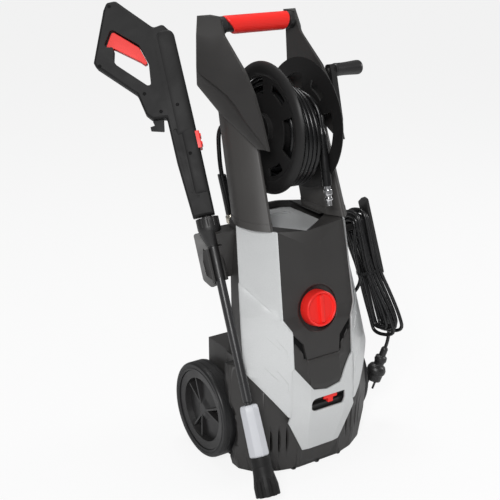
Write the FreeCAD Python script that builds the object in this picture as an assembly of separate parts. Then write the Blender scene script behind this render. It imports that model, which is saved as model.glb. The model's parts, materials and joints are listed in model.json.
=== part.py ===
import FreeCAD, Part
import math
import os

# Upright pressure washer on two wheels, with a hose reel between its handle arms.
# Millimetres. +X is the machine's left-to-right seen from its front, +Y the back, +Z up.
# The origin is on the floor under the middle front foot, on the mid-plane.

V = FreeCAD.Vector

# General fits
wall = 3.0
seam = 0.4
running_clearance = 0.06
free_gap = 0.3

# Wheels and axle
wheel_radius = 100.0
wheel_width = 38.0
wheel_outer_x = 183.0
rim_radius = 84.0
rim_lip = 17.0
bowl_depth = 15.0
hub_radius = 15.0
hub_cap = 8.0
axle_radius = 7.0
axle_y = 154.0
spoke_count = 3
spoke_spread = 15.0
spoke_rib = 4.0
arch_clearance = 8.0

# Base tub: stations of height, each a half outline of (x, y) from the front centre
base_bottom = 4.0
base_top = 235.0
fender_rear_y = 78.0
rear_half_width = 132.0
rear_end_y = 214.0
rear_chamfer = 16.0
base_stations = (
    (base_bottom, ((50, -9), (92, 3), (134, 28), (152, 54))),
    (60.0, ((52, -12), (108, 6), (152, 34), (167, 58))),
    (115.0, ((62, -12), (118, 8), (158, 36), (170, 58))),
    (base_top, ((62, -8), (112, 14), (142, 38), (167, 62))),
)
base_corner_radii = (30.0, 40.0, 24.0, 9.0)
gill_radius = 150.0
gill_width = 10.0
gill_bite = 5.4
gill_count = 4
gill_z = 66.0

# Feet
foot_radius = 6.5
foot_spread = 56.0
foot_forward = 4.0
foot_setback = 2.5

# Upper body: stations of height, each a half outline of (x, y) from the front centre
shoulder_z = 500.0
kink_z = 333.0
waist_z = 309.0
slot_z = 152.5
step_z = 112.0
chin_z = 46.0
body_stations = (
    (chin_z, ((30, -19), (50, -15), (150, -6), (150, 60), (100, 70), (40, 74))),
    (step_z, ((42, -34), (74, -20), (158, 2), (158, 60), (100, 130), (40, 140))),
    (slot_z, ((42, -40), (76, -22), (157, 14), (157, 70), (100, 150), (40, 160))),
    (base_top, ((36, -25), (71, -20), (149, 38), (141, 90), (96, 165), (40, 201))),
    (waist_z, ((38, -11), (71, -14), (142, 58), (138, 98), (94, 167), (40, 202))),
    (kink_z, ((40, -3), (86, -3), (139, 64), (136, 102), (93, 168), (40, 202))),
    (shoulder_z, ((40, 27), (80, 27), (120, 109), (118, 137), (88, 176), (40, 203))),
)
body_corner_radii = (8.0, 3.0, 6.0, 14.0, 24.0, 30.0)
cover_edge = ((109.0, shoulder_z), (38.0, base_top), (30.0, 222.0))
flank_raise = 1.8
flank_outline = (
    (170, 445), (71, 306), (71, 235), (75.5, 228), (77.5, 131), (83, 133), (152, 228), (170, 240),
)
cover_outline = ((152, 228), (83, 133), (77, 131), (81, 117), (45, chin_z))

# Front panels inside the cover
panel_half_top = 80.0
panel_half_kink = 86.0
panel_half_waist = 71.0
panel_seam_half = 39.0
panel_seam_z = 245.0
panel_low_side_z = 235.0
panel_low_half = 32.0
panel_low_z = 184.0
panel_tip_z = 178.0
panel_recess = 4.0
block_raise = 2.4
groove_width = 7.0
fold_apex_z = 456.0
notch_y = 40.0
notch_z = 486.0
shoulder_inner_y = 85.0

# Slot window in the chin and its dosing tab
slot_half = 41.0
slot_height = 27.0
tab_x = 9.0
tab_width = 12.0
tab_travel_left = 20.0
tab_travel_right = 12.0

# Rotary switch
switch_z = 338.5
switch_radius = 36.5
switch_depth = 15.0
switch_room = 9.5
switch_well = switch_radius + switch_room
well_side_room = 3.0
well_foot_room = 3.5
panel_lean = math.degrees(math.atan2(30.0, 167.0))

# Columns
column_inner_x = 64.0
column_foot_z = shoulder_z + seam
column_top_z = 705.0
column_lean = 0.344
column_foot = ((66, 68), (85, 33), (112, 58), (122, 105), (112, 136), (92, 152), (66, 152))
column_top = ((66, 66), (78, 34), (96, 58), (105, 100), (99, 134), (88, 150), (66, 150))
column_radii = (6.0, 5.0, 24.0, 28.0, 18.0, 6.0, 2.0)
column_wall = 4.0
column_ring = 0.9
column_ring_height = 13.0

# Handle arms: height, front y, nose x, rear outer x, rear y
arm_inner_x = 85.0
arm_stations = (
    (654.0, 44.0, 88.5, 96.0, 68.0),
    (704.0, 66.0, 90.0, 113.0, 172.0),
    (751.0, 92.0, 92.0, 127.0, 235.0),
    (787.0, 122.0, 91.0, 127.0, 236.0),
    (846.0, 196.0, 89.0, 123.0, 241.0),
    (880.0, 214.0, 88.5, 115.0, 250.0),
)
arm_radii = (1.0, 1.3, 2.5, 2.0)

# Handle bar and grip
grip_y = 222.0
grip_z = 862.0
grip_radius = 18.0
grip_length = 146.0
bar_radius = 13.5
stub_radius = 17.0
grip_slant = 7.0
grip_slant_left = 20.0

# Hose reel
reel_y = 121.7
reel_z = 677.0
flange_radius = 127.5
flange_band = 27.0
flange_dome = 9.0
flange_disc = 4.0
flange_inner_x = 43.0
drum_radius = 58.0
drum_wall = 4.0
reel_axle_radius = 8.0
window_count = 3
window_turn = 28.0
hose_diameter = 10.0
hose_turns = 5
hose_pitch = 11.4
loop_radius = 106.0
loop_end_radius = 92.0
loop_start_x = -36.0
loop_droop = 12.0
loop_end_droop = 25.0

# Hose tail on the reel, as (x, y, z)
tail_points = (
    (21.3, 121.2, 744.0),
    (22.3, 98.0, 743.7),
    (27.0, 71.0, 734.0),
    (32.0, 52.0, 712.0),
    (32.0, 46.0, 684.0),
)
ferrule_length = 112.0
ferrule_radius = 9.0
plug_fitting_length = 38.0

# Crank
crank_radius = 94.0
crank_angle = 12.0
crank_x = 118.0
crank_thick = 13.0
crank_grip_length = 66.0
crank_grip_radius = 14.5
crank_pin_radius = 5.0

# Feed hose from the pump outlet to the reel, as (x, y, z)
feed_diameter = 9.0
feed_sleeve_radius = 8.5
swivel_radius = 11.5
swivel_port = 7.0
feed_points = (
    (-76.0, 200.0, 492.0),
    (-83.0, 206.0, 540.0),
    (-90.0, 212.0, 584.0),
    (-89.0, 219.0, 624.0),
    (-87.0, 223.0, 656.0),
    (-86.0, 204.0, 678.0),
    (-86.0, 166.0, 678.0),
)

# Motor and pump
motor_y = 106.0
motor_radius = 56.0
motor_bottom = 232.0
motor_top = 415.0
fan_radius = 50.0
fan_blades = 9
shaft_radius = 6.0
pump_radius = 46.0
pump_bottom = 92.0
head_width = 84.0
inlet_x = 62.0
inlet_above_axle = 30.0
inlet_z = wheel_radius + inlet_above_axle

# Cord hook, cord and plug
cord_diameter = 7.6
hank_pitch = 9.0
hank_layers = 4
layer_turns = 2
hank_shares = (0.0, 0.06, 0.12, 0.3, 0.45, 0.53, 0.61, 0.78)
saddle = V(151.0, 99.0, 450.0)
hank_foot = V(172.0, 39.5, 247.0)
saddle_radius = 12.5
waist_drop = 100.0
waist_shift = 6.0
foot_shift = 12.0
foot_swing = 10.0
waist_half = 4.6
bottom_drop = 204.0
bottom_radius = 19.0
gland_point = V(143.0, 95.0, 288.0)
gland_radius = 7.0
lead_run = 60.0
plug_top = V(226.5, 57.0, 174.0)
plug_heading = V(-23.7, 14.9, -84.8)
hook_arm = 6.5
tie_room = 0.8
hook_width = 27.0
blade_shift = 11.0
hook_rise = 53.0
hook_drop = 112.0

# Gun and lance, stored at a slant in the holder on the left side
lance_foot = V(-158.0, 131.0, 458.0)
lance_lean = -27.2
lance_splay = 2.3
lance_turn = 151.0
tube_radius = 9.0
tube_low = -310.0
lance_plug_radius = 10.5
lance_plug_low = -62.0
gun_thickness = 32.0
collar_top = 56.0
sleeve_radius = 20.0
sleeve_low = -409.0
nozzle_low = -484.0
nozzle_radius = 24.0


# Helpers

# Gun outlines, in its own x and z
gun_outline = (
    (26, 60), (33, 170), (34, 262), (62, 266), (72, 278), (80, 320), (145, 388), (150, 398), (110, 497),
    (101, 511), (83, 511), (68, 494), (22, 443), (3, 446), (-15, 420), (-17, 250), (-17, 60),
)
gun_radii = (2, 60, 4, 8, 10, 14, 6, 6, 12, 8, 10, 14, 10, 8, 10, 30, 2)
guard_outline = (
    (103, 457), (56, 414), (45, 376), (50, 331), (57, 332), (107, 384), (112, 396), (106, 420), (125, 424),
)
guard_radii = (6, 8, 14, 4, 4, 8, 6, 3, 6)
trigger_outline = ((102, 454), (57, 411), (47, 377), (53, 375), (60, 383), (105, 419), (122, 422))
trigger_radii = (5, 6, 3, 3, 8, 6, 5)
trigger_pivot = V(50, 0, 380)
trigger_thickness = 15.0
gun_skin = 2.5
pad_outline = ((-10, 236), (-8, 405), (3, 430), (18, 424), (25, 400), (27, 262), (24, 236))
pad_radii = (3, 12, 6, 7, 12, 5, 3)
pad_height = 1.4
groove_ends = (V(17.5, 0, 112), V(22.5, 0, 232))
button_cheek = 11.4
screw_spots = ((6, 416), (97, 501), (8, 282), (42, 276), (66, 317), (139, 389), (8, 184), (6, 98))


def mirrored(shape):
    return shape.mirror(V(0, 0, 0), V(1, 0, 0))


def cylinder(radius, length, base, direction):
    return Part.makeCylinder(radius, length, base, direction)


def tube(outer, inner, length, base, direction):
    return cylinder(outer, length, base, direction).cut(cylinder(inner, length, base, direction))


def box(low, high):
    size = high - low
    return Part.makeBox(size.x, size.y, size.z, low)


def rounded_wire(points, radii):
    """Closed wire through the points, each corner an arc of its own radius."""
    count = len(points)
    starts, middles, ends = [], [], []
    for i, point in enumerate(points):
        back = (points[i - 1] - point).normalize()
        ahead = (points[(i + 1) % count] - point).normalize()
        half = back.getAngle(ahead) / 2
        if half > math.pi / 2 - 0.01:
            starts.append(point + back)
            ends.append(point + ahead)
            middles.append(None)
            continue
        inward = (back + ahead).normalize()
        starts.append(point + back * (radii[i] / math.tan(half)))
        ends.append(point + ahead * (radii[i] / math.tan(half)))
        middles.append(point + inward * (radii[i] / math.sin(half) - radii[i]))
    edges = []
    for i in range(count):
        if middles[i] is None:
            edges.append(Part.LineSegment(starts[i], ends[i]).toShape())
        elif radii[i] > 0:
            edges.append(Part.Arc(starts[i], middles[i], ends[i]).toShape())
        edges.append(Part.LineSegment(ends[i], starts[(i + 1) % count]).toShape())
    return Part.Wire(edges)


def inset_outline(outline, distance):
    """The closed outline of (x, y), counter-clockwise, moved inwards by the distance."""
    moved = []
    count = len(outline)
    for i in range(count):
        ax, ay = outline[i - 1]
        bx, by = outline[i]
        cx, cy = outline[(i + 1) % count]
        ux, uy = bx - ax, by - ay
        wx, wy = cx - bx, cy - by
        ul, wl = math.hypot(ux, uy), math.hypot(wx, wy)
        px, py = ax - uy / ul * distance, ay + ux / ul * distance
        qx, qy = bx - wy / wl * distance, by + wx / wl * distance
        cross = ux * wy - uy * wx
        if abs(cross) < 1e-6 * ul * wl:
            moved.append((bx - uy / ul * distance, by + ux / ul * distance))
            continue
        t = ((qx - px) * wy - (qy - py) * wx) / cross
        moved.append((px + ux * t, py + uy * t))
    return moved


def full_outline(half):
    """Both sides of a half outline that runs from the front to the back on +X."""
    return list(half) + [(-x, y) for x, y in reversed(half)]


def station_loft(stations, radii, inset=0.0):
    """Ruled loft through plan outlines at the stations' heights."""
    wires = []
    both_radii = list(radii) + list(reversed(radii))
    for z, half in stations:
        outline = full_outline(half)
        if inset:
            outline = inset_outline(outline, inset)
        wires.append(rounded_wire([V(x, y, z) for x, y in outline],
                                  [max(r - inset, 0.8) for r in both_radii]))
    return Part.makeLoft(wires, True, True)


def front_prism(outline, low_y=-80.0, high_y=400.0):
    """Prism along Y over an outline of (x, z)."""
    points = [V(x, low_y, z) for x, z in outline]
    return Part.Face(Part.makePolygon(points + points[:1])).extrude(V(0, high_y - low_y, 0))


def side_prism(outline, half_width=300.0):
    """Prism along X over an outline of (y, z)."""
    points = [V(-half_width, y, z) for y, z in outline]
    return Part.Face(Part.makePolygon(points + points[:1])).extrude(V(2 * half_width, 0, 0))


def both_sides(half):
    """Closed (x, z) outline from its right half, which runs from the top down."""
    left = [(-x, z) for x, z in reversed(half) if x > 0]
    return list(half) + left


def revolve_profile(profile, base, direction, across):
    """Turn a closed profile of (radius, along) about the axis through base."""
    direction = V(direction).normalize()
    across = (across - direction * across.dot(direction)).normalize()
    points = [base + across * radius + direction * along for radius, along in profile]
    face = Part.Face(Part.makePolygon(points + points[:1]))
    return face.revolve(base, direction, 360)


def route_wire(points, name):
    """Straight runs joined by the largest tangent arcs; prints the arcs' radii."""
    edges = []
    radii = []
    last = points[0]
    for before, corner, after in zip(points, points[1:], points[2:]):
        back = before - corner
        ahead = after - corner
        turn = math.pi - back.getAngle(ahead)
        reach = 0.45 * min(back.Length, ahead.Length)
        radius = reach / math.tan(turn / 2)
        radii.append(radius)
        back.normalize()
        ahead.normalize()
        inward = (back + ahead).normalize()
        middle = corner + inward * (radius / math.cos(turn / 2) - radius)
        start = corner + back * reach
        end = corner + ahead * reach
        edges.append(Part.LineSegment(last, start).toShape())
        edges.append(Part.Arc(start, middle, end).toShape())
        last = end
    edges.append(Part.LineSegment(last, points[-1]).toShape())
    print(name, "radii", [round(r, 1) for r in radii])
    return Part.Wire(edges)


def sweep(path, radius, start, heading, name):
    """Round tube along a path; prints its volume beside its section times its length."""
    ring = Part.Wire(Part.makeCircle(radius, start, heading))
    solid = path.makePipeShell([ring], True, False)
    print(name, "volume ratio", round(solid.Volume / (math.pi * radius ** 2 * path.Length), 4))
    return solid


def route_tube(points, radius, name):
    corners = [V(*p) for p in points]
    return sweep(route_wire(corners, name), radius, corners[0], corners[1] - corners[0], name)


def arc_edge(start, heading, end):
    """Arc that leaves start along heading and ends at end."""
    chord = end - start
    along = V(heading).normalize()
    if along.getAngle(chord) < 1e-6:
        return Part.LineSegment(start, end).toShape()
    bend = along.getAngle(chord)
    side = (chord - along * chord.dot(along)).normalize()
    radius = chord.Length / (2 * math.sin(bend))
    middle = start + along * (radius * math.sin(bend)) + side * (radius * (1 - math.cos(bend)))
    return Part.Arc(start, middle, end).toShape()


def biarc_edges(start, heading_a, end, heading_b):
    """Two arcs that leave start along one heading and reach end along the other."""
    ta = V(heading_a).normalize()
    tb = V(heading_b).normalize()
    gap = end - start
    total = ta + tb
    a = 2 * (ta.dot(tb) - 1)
    b = -2 * gap.dot(total)
    c = gap.dot(gap)
    if abs(a) < 1e-9:
        reach = -c / b
    else:
        reach = (-b - math.sqrt(b * b - 4 * a * c)) / (2 * a)
    joint = (start + ta * reach + end - tb * reach) * 0.5
    middle_heading = (end - tb * reach) - (start + ta * reach)
    return [arc_edge(start, ta, joint), arc_edge(joint, middle_heading, end)]


def least_gap(samples, turn_of, diameter):
    """Least gap of a wound tube to its own other turns, from points on its centre line."""
    least = 1e9
    for i, p in enumerate(samples):
        for j in range(i + 1, len(samples)):
            if abs(turn_of[i] - turn_of[j]) < 0.4:
                continue
            least = min(least, (p - samples[j]).Length)
    return least - diameter


def poly_solid(vertices, faces):
    """Solid with flat faces, each a tuple of indices into the vertices."""
    made = []
    for face in faces:
        ring = [vertices[i] for i in face] + [vertices[face[0]]]
        made.append(Part.Face(Part.makePolygon(ring)))
    return Part.makeSolid(Part.makeShell(made))


# Base tub and what it stands on
def wheel_arches():
    side = box(V(138, fender_rear_y, -20), V(260, 400, base_top + 40))
    arch = cylinder(wheel_radius + arch_clearance, 130, V(138, axle_y, wheel_radius), V(1, 0, 0))
    right = side.fuse(arch)
    return [right, mirrored(right)]


def base_outer(inset=0.0):
    front_half = [(z, list(half) + [(half[-1][0] + 0.5, 120.0)]) for z, half in base_stations]
    front = station_loft(front_half, list(base_corner_radii) + [4.0], inset)
    rear = box(V(-rear_half_width + inset, 60, 40 + inset),
               V(rear_half_width - inset, rear_end_y - inset, base_top))
    edges = [e for e in rear.Edges if abs(e.CenterOfMass.y - rear_end_y + inset) < 0.1]
    return front.fuse(rear.makeChamfer(rear_chamfer - 0.6 * inset, edges))


def gill_cuts():
    """Louvres on the front corners: wheels with a skew edge that bite lens shapes into the skin."""
    tub = base_outer()
    cuts = []
    for i in range(gill_count):
        turn = math.radians(24 + 8 * i)
        outward = V(math.sin(turn), -math.cos(turn), 0)
        along = V(math.cos(turn), math.sin(turn), 0)
        inside = V(76.0 + 14.0 * i, -4.0 + 7.0 * i, gill_z) - outward * 30
        ray = Part.makeLine(inside, inside + outward * 90).common(tub)
        skin = max(ray.Vertexes, key=lambda v: (v.Point - inside).Length).Point
        r = gill_radius
        bite = gill_bite * 1.6
        profile = [(0, -gill_width), (r - bite, -gill_width), (r, 0), (r - bite, 2.0), (0, 2.0)]
        wheel = revolve_profile(profile, skin + outward * (r - gill_bite), along, V(0, 0, 1))
        cuts += [wheel, mirrored(wheel)]
    return cuts


def make_base_shell():
    """Open tub with a deck round the drive; flutes, arches, axle and inlet are cut out."""
    below_deck = box(V(-300, -100, base_bottom + wall), V(300, 400, base_top - wall))
    hollow = base_outer(wall + 0.5).common(below_deck).cut(wheel_well_wall())
    opening = box(V(-96, 2, base_top - wall - 1), V(96, 176, base_top + 1))
    shell = base_outer().cut(Part.makeCompound(gill_cuts()))
    shell = shell.cut(wheel_well_inner()).cut(hollow)
    bore = cylinder(axle_radius + free_gap, 400, V(-200, axle_y, wheel_radius), V(1, 0, 0))
    inlet = cylinder(8.6, 30, V(inlet_x, rear_end_y - 15, inlet_z), V(0, 1, 0))
    return shell.cut(opening).cut(bore).cut(inlet)


def wheel_well_inner():
    return Part.makeCompound(wheel_arches())


def wheel_well_wall():
    """The arch space grown by the wall, so that the tub stays closed behind each wheel."""
    side = box(V(138 - wall, fender_rear_y - wall, -20), V(260, 400, base_top + 40))
    arch = cylinder(wheel_radius + arch_clearance + wall, 130,
                    V(138 - wall, axle_y, wheel_radius), V(1, 0, 0))
    right = side.fuse(arch)
    return Part.makeCompound([right, mirrored(right)])



def make_base_feet():
    feet = []
    for x, y in ((0, 0), (foot_spread, foot_setback), (-foot_spread, foot_setback)):
        place = V(x, y - foot_forward, 0)
        foot = Part.makeCone(foot_radius - 1.5, foot_radius, base_bottom, place, V(0, 0, 1))
        feet.append(foot)
    return Part.makeCompound(feet)


# Upper body shells
def body_solid(inset=0.0):
    return station_loft(body_stations, body_corner_radii, inset)


def body_shell():
    return body_solid().cut(body_solid(wall))


def cover_side_space():
    """Everything in front of the cover's rear edge, seen from the side."""
    top_y = cover_edge[0][0] - (cover_edge[1][0] - cover_edge[0][0]) * 0.05
    line = [(-100, 600), (top_y + 25, 600), cover_edge[0], cover_edge[1], cover_edge[2]]
    return side_prism(line + [(cover_edge[2][0], 0), (-100, 0)])


def opening_outline(margin=0.0):
    m = margin
    half = [(panel_half_top - m, 520), (panel_half_top - m, shoulder_z - 2),
            (panel_half_kink - m, kink_z), (panel_half_waist - m, waist_z - m / 2),
            (panel_half_waist - m, panel_low_side_z + m / 2), (panel_low_half, panel_low_z + m),
            (0, panel_tip_z + m)]
    return both_sides(half)


def slot_window():
    """Window with one full round end and one square end that leans a little."""
    low, high = slot_z - slot_height / 2, slot_z + slot_height / 2
    r = slot_height / 2
    points = [V(-slot_half, -80, low), V(slot_half - 3, -80, low),
              V(slot_half + 1, -80, high), V(-slot_half, -80, high)]
    wire = rounded_wire(points, [r - 0.5, 5.0, 2.0, r - 0.5])
    return Part.Face(wire).extrude(V(0, 100, 0))


def make_front_cover(shell):
    half = [(170, 620), (170, 240)] + list(cover_outline)
    outline = front_prism(both_sides(half))
    cover = shell.common(cover_side_space()).common(outline)
    cover = cover.cut(front_prism(opening_outline(0.5), high_y=110.0))
    return cover.cut(slot_window()).fuse(flank_plates())


def flank_plates():
    """Raised plate on each flank, below a crease that falls from the side to the tongue."""
    raised = body_solid(-flank_raise).cut(body_solid(0.5)).common(cover_side_space())
    right = front_prism(flank_outline)
    return [raised.common(right), raised.common(mirrored(right))]


def make_rear_housing(shell):
    """Back half of the body with the deck that carries the columns."""
    behind = box(V(-300, -100, base_top + seam), V(300, 400, shoulder_z + 1))
    front = cover_side_space()
    front.translate(V(0, seam, 0))
    housing = shell.cut(front).common(behind)
    top = box(V(-300, -100, shoulder_z - wall), V(300, 400, shoulder_z))
    deck = body_solid(wall + seam).common(top)
    deck = deck.fuse(body_solid(wall - 0.5).common(top).cut(front))
    hatch = box(V(-62.4, -100, 400), V(62.4, 196.4, 600))
    front_bay = box(V(-panel_half_top, -100, 400), V(panel_half_top, shoulder_inner_y + 1, 600))
    housing = housing.fuse(deck.cut(hatch).cut(front_bay))
    slots = []
    for i in range(7):
        z = 300.0 + 16.0 * i
        slots.append(box(V(-34, 190, z), V(34, 220, z + 7)))
    knee = outlet_knee()
    outlet = cylinder(8.4, 60, V(knee.x, 150, knee.z), V(0, 1, 0))
    gland = cylinder(gland_radius + free_gap, 60, gland_point - gland_heading() * 20, gland_heading())
    return housing.cut(Part.makeCompound(slots + [outlet, gland]))


def panel_skin():
    """Skin set back from the cover's face, which the two front panels are cut from."""
    outer = body_solid(panel_recess)
    inner = body_solid(panel_recess + wall)
    front = box(V(-100, -100, panel_tip_z - 5), V(100, 70, shoulder_z - wall - seam))
    return outer.cut(inner).common(front)


def make_centre_panel(skin):
    """Panel with a notched, folded head, a tongue below, and a well for the switch."""
    half = [(panel_half_top + 3, shoulder_z), (panel_half_kink + 3, kink_z), (72, 308), (44, 277),
            (panel_seam_half, panel_seam_z)]
    panel = skin.common(front_prism(both_sides(half), high_y=120.0))
    v_cut = [(-panel_half_top, shoulder_z), (0, fold_apex_z), (panel_half_top, shoulder_z),
             (panel_half_top, 560), (-panel_half_top, 560)]
    panel = panel.cut(front_prism(v_cut, high_y=120.0)).fuse(fold_plates())
    normal = panel_normal()
    centre = V(0, panel_face_y(switch_z), switch_z)
    hole = cylinder(switch_well, 40, centre - normal * 8, normal)
    ring = tube(switch_well + wall, switch_well, 24, centre - normal * 12, normal)
    floor = tube(switch_well + wall, 6.0, wall, centre - normal * 12, normal)
    ring = ring.common(body_solid(panel_recess))
    return panel.cut(hole).fuse([ring, floor])


def panel_normal():
    """Outward normal of the centre panel's lower face."""
    lean = math.radians(panel_lean)
    return V(0, -math.cos(lean), math.sin(lean))


def panel_face_y(z):
    slope = 30.0 / 167.0
    return -3.0 + (z - kink_z) * slope + panel_recess


def fold_plates():
    """Two folded facets that rise from the middle notch to the feet of the columns."""
    face_y = 27.0 + panel_recess
    apex = V(0, panel_face_y(fold_apex_z), fold_apex_z)
    notch = V(0, notch_y, notch_z)
    plates = []
    for side in (1, -1):
        low = V(side * (panel_half_top - 3.5), face_y - 0.3, shoulder_z - 1)
        high = V(side * (panel_half_top - 0.6), shoulder_inner_y, shoulder_z - 1)
        down = V(0, 0, -4.5)
        v = [apex, notch, low, high, apex + down, notch + down, low + down, high + down]
        faces = [(0, 2, 1), (2, 3, 1), (4, 5, 6), (6, 5, 7), (0, 1, 5), (0, 5, 4),
                 (0, 4, 6), (0, 6, 2), (2, 6, 7), (2, 7, 3), (3, 7, 5), (3, 5, 1)]
        plates.append(poly_solid(v, faces))
    return plates[0].fuse(plates[1])


def make_lower_panel(skin):
    """Chin piece under the tongue: an open groove along the tongue's sides, and a raised block."""
    g = groove_width
    half = [(panel_seam_half, panel_seam_z - 1.0), (panel_seam_half + g, panel_seam_z + 2),
            (panel_seam_half + g + 1, panel_seam_z + 14), (panel_half_waist + 2.5, waist_z - g - 5),
            (panel_half_waist + 2.5, panel_low_side_z - 2),
            (panel_low_half + 1, panel_low_z - 3), (0, panel_tip_z - 3)]
    own = front_prism(both_sides(half), high_y=40.0)
    block_half = [(panel_seam_half - 1, panel_seam_z - 1.4), (panel_seam_half - 1, panel_low_z + 9),
                  (panel_low_half - 3, panel_low_z + 2), (0, panel_tip_z + 2)]
    block = body_solid(panel_recess - block_raise).cut(body_solid(panel_recess + 1))
    block = block.common(front_prism(both_sides(block_half), high_y=40.0))
    deep = panel_recess + wall + seam
    tie = body_solid(deep - 1).cut(body_solid(deep + 1)).common(own)
    back_inner = switch_well + wall + well_side_room
    back_top = switch_z - switch_well - wall - well_foot_room
    back_half = [(panel_half_waist + 1, waist_z - 4), (back_inner, waist_z - 4), (back_inner, back_top),
                 (0, back_top)]
    back_low = [(panel_half_waist + 1, panel_seam_z - 12), (0, panel_seam_z - 12)]
    outline = both_sides([back_half[3]] + [back_half[2], back_half[1], back_half[0]] + back_low)
    back = body_solid(deep).cut(body_solid(deep + 2)).common(front_prism(outline, high_y=40.0))
    return skin.common(own).fuse([block, tie, back])


def make_top_cover():
    """Sunk tray between the columns, with a shallow pocket at its back."""
    z = notch_z
    points = [V(0, notch_y + 4, z), V(61.6, 86.5, z), V(61.6, 196, z), V(-61.6, 196, z), V(-61.6, 86.5, z)]
    plate = Part.Face(rounded_wire(points, [0, 4, 10, 10, 4])).extrude(V(0, 0, -wall))
    low, high = V(-44, 154, z - 16), V(44, 168, z)
    recess = box(low, high)
    pocket = box(low - V(wall, wall, 0), high + V(wall, wall, -wall))
    pocket = pocket.cut(box(low + V(0, 0, wall), high))
    return plate.cut(recess).fuse(pocket).common(body_solid(wall + seam))


# Columns, arms and handle
def column_section(outline, z, inset=0.0):
    shift = column_lean * (z - shoulder_z)
    points = inset_outline(outline, inset) if inset else outline
    return rounded_wire([V(x, y + shift, z) for x, y in points],
                        [max(r - inset, 0.6) for r in column_radii])


def column_solid(inset=0.0, low=column_foot_z, high=column_top_z + 60):
    grow = (high - shoulder_z) / (column_top_z - shoulder_z)
    reached = [(a[0] + (b[0] - a[0]) * grow, a[1] + (b[1] - a[1]) * grow)
               for a, b in zip(column_foot, column_top)]
    wires = [column_section(column_foot, low, inset), column_section(reached, high, inset)]
    return Part.makeLoft(wires, True, True)


def under_arm_space():
    """Everything below the arms' lower edge, seen from the side."""
    (z0, f0, _, _, r0), (z1, _, _, _, r1), (z2, _, _, _, r2) = arm_stations[:3]
    line = [(-100, z0 - 30), (f0, z0 - seam), (r0, z0 - seam), (r1, z1 - seam), (r2, z2 - seam),
            (400, z2 + 60), (400, 0), (-100, 0)]
    return side_prism(line)


def make_column(side):
    """Leaning hollow column with a bearing lug for the reel's axle."""
    column = column_solid().common(under_arm_space())
    ring_top = column_foot_z + column_ring_height
    column = column.fuse(column_solid(-column_ring, column_foot_z, ring_top))
    column = column.cut(column_solid(column_wall, column_foot_z - 1).common(core_space()))
    lug = cylinder(20.0, 17.5, V(66.5, reel_y, reel_z), V(1, 0, 0))
    lug = lug.cut(cylinder(13.5, 30, V(70, reel_y, reel_z), V(1, 0, 0)))
    bore_length = 80 if side > 0 else 40
    bore = cylinder(reel_axle_radius + running_clearance, bore_length, V(50, reel_y, reel_z), V(1, 0, 0))
    column = column.fuse(lug).cut(bore)
    if side < 0:
        column = mirrored(column)
        column = column.cut(box(V(-99, 134, 640), V(-72, 270, 700)))
        column = column.cut(swivel_room())
    return column


def core_space():
    """The column's hollow stops one wall below its top."""
    space = under_arm_space()
    space.translate(V(0, 0, -column_wall * 1.2))
    return space


def make_arm():
    """Thin nose at the front, broad outer edge at the back."""
    wires = []
    for z, front_y, nose_x, outer_x, rear_y in arm_stations:
        points = [V(arm_inner_x, front_y, z), V(nose_x, front_y, z),
                  V(outer_x, rear_y, z), V(arm_inner_x, rear_y, z)]
        radii = [min(r, (rear_y - front_y) * 0.3, (outer_x - arm_inner_x) * 0.35) for r in arm_radii]
        wires.append(rounded_wire(points, radii))
    return Part.makeLoft(wires, True, True)


def swivel_room():
    """Room for the swivel on the reel's axle and for its port."""
    x, _, z = feed_points[-1]
    around = cylinder(swivel_radius + 0.6, 23, V(-93, reel_y, reel_z), V(1, 0, 0))
    return around.fuse(cylinder(swivel_port + 0.8, 60, V(x, reel_y, z), V(0, 1, 0)))


def make_handle_bar():
    """Bar between the arms, thicker where it leaves the sleeve."""
    reach = arm_inner_x - free_gap
    bar = cylinder(bar_radius, 2 * reach, V(-reach, grip_y, grip_z), V(1, 0, 0))
    stub = cylinder(stub_radius, reach - grip_length / 2 - free_gap,
                    V(grip_length / 2 + free_gap, grip_y, grip_z), V(1, 0, 0))
    return bar.fuse([stub, mirrored(stub)])


def make_handle_grip():
    """Soft sleeve round the bar, its ends cut at a slant, the left one steeper."""
    grip = tube(grip_radius, bar_radius + 0.05, grip_length, V(-grip_length / 2, grip_y, grip_z), V(1, 0, 0))
    low, high = grip_z - grip_radius, grip_z + grip_radius
    cuts = []
    for side, slant in ((1, grip_slant), (-1, grip_slant_left)):
        end = side * grip_length / 2
        cuts.append(front_prism([(end + side, high + 1), (end - side * slant, low - 1), (end + side * 30, low - 1),
                                 (end + side * 30, high + 1)]))
    return grip.cut(Part.makeCompound(cuts))


# Hose reel
def make_flange(side):
    """Domed outer band round a flat disc with windows, and a hub."""
    x0 = flange_inner_x
    outer = flange_radius
    inner = flange_radius - flange_band
    middle = (outer + inner) / 2
    base = V(0, reel_y, reel_z)

    def at(r, x):
        return base + V(x, 0, r)
    dome_top = at(middle, x0 + flange_dome)
    edges = [
        Part.LineSegment(at(reel_axle_radius + running_clearance, x0), at(outer, x0)).toShape(),
        Part.Arc(at(outer, x0), dome_top, at(inner, x0 + flange_disc)).toShape(),
        Part.LineSegment(at(inner, x0 + flange_disc), at(30, x0 + flange_disc)).toShape(),
        Part.LineSegment(at(30, x0 + flange_disc), at(30, x0 + flange_disc + 10)).toShape(),
        Part.LineSegment(at(30, x0 + flange_disc + 10),
                         at(reel_axle_radius + running_clearance, x0 + flange_disc + 10)).toShape(),
        Part.LineSegment(at(reel_axle_radius + running_clearance, x0 + flange_disc + 10),
                         at(reel_axle_radius + running_clearance, x0)).toShape(),
    ]
    flange = Part.Face(Part.Wire(edges)).revolve(base, V(1, 0, 0), 360)
    flange = flange.cut(Part.makeCompound(flange_windows()))
    return flange if side > 0 else mirrored(flange)


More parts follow.
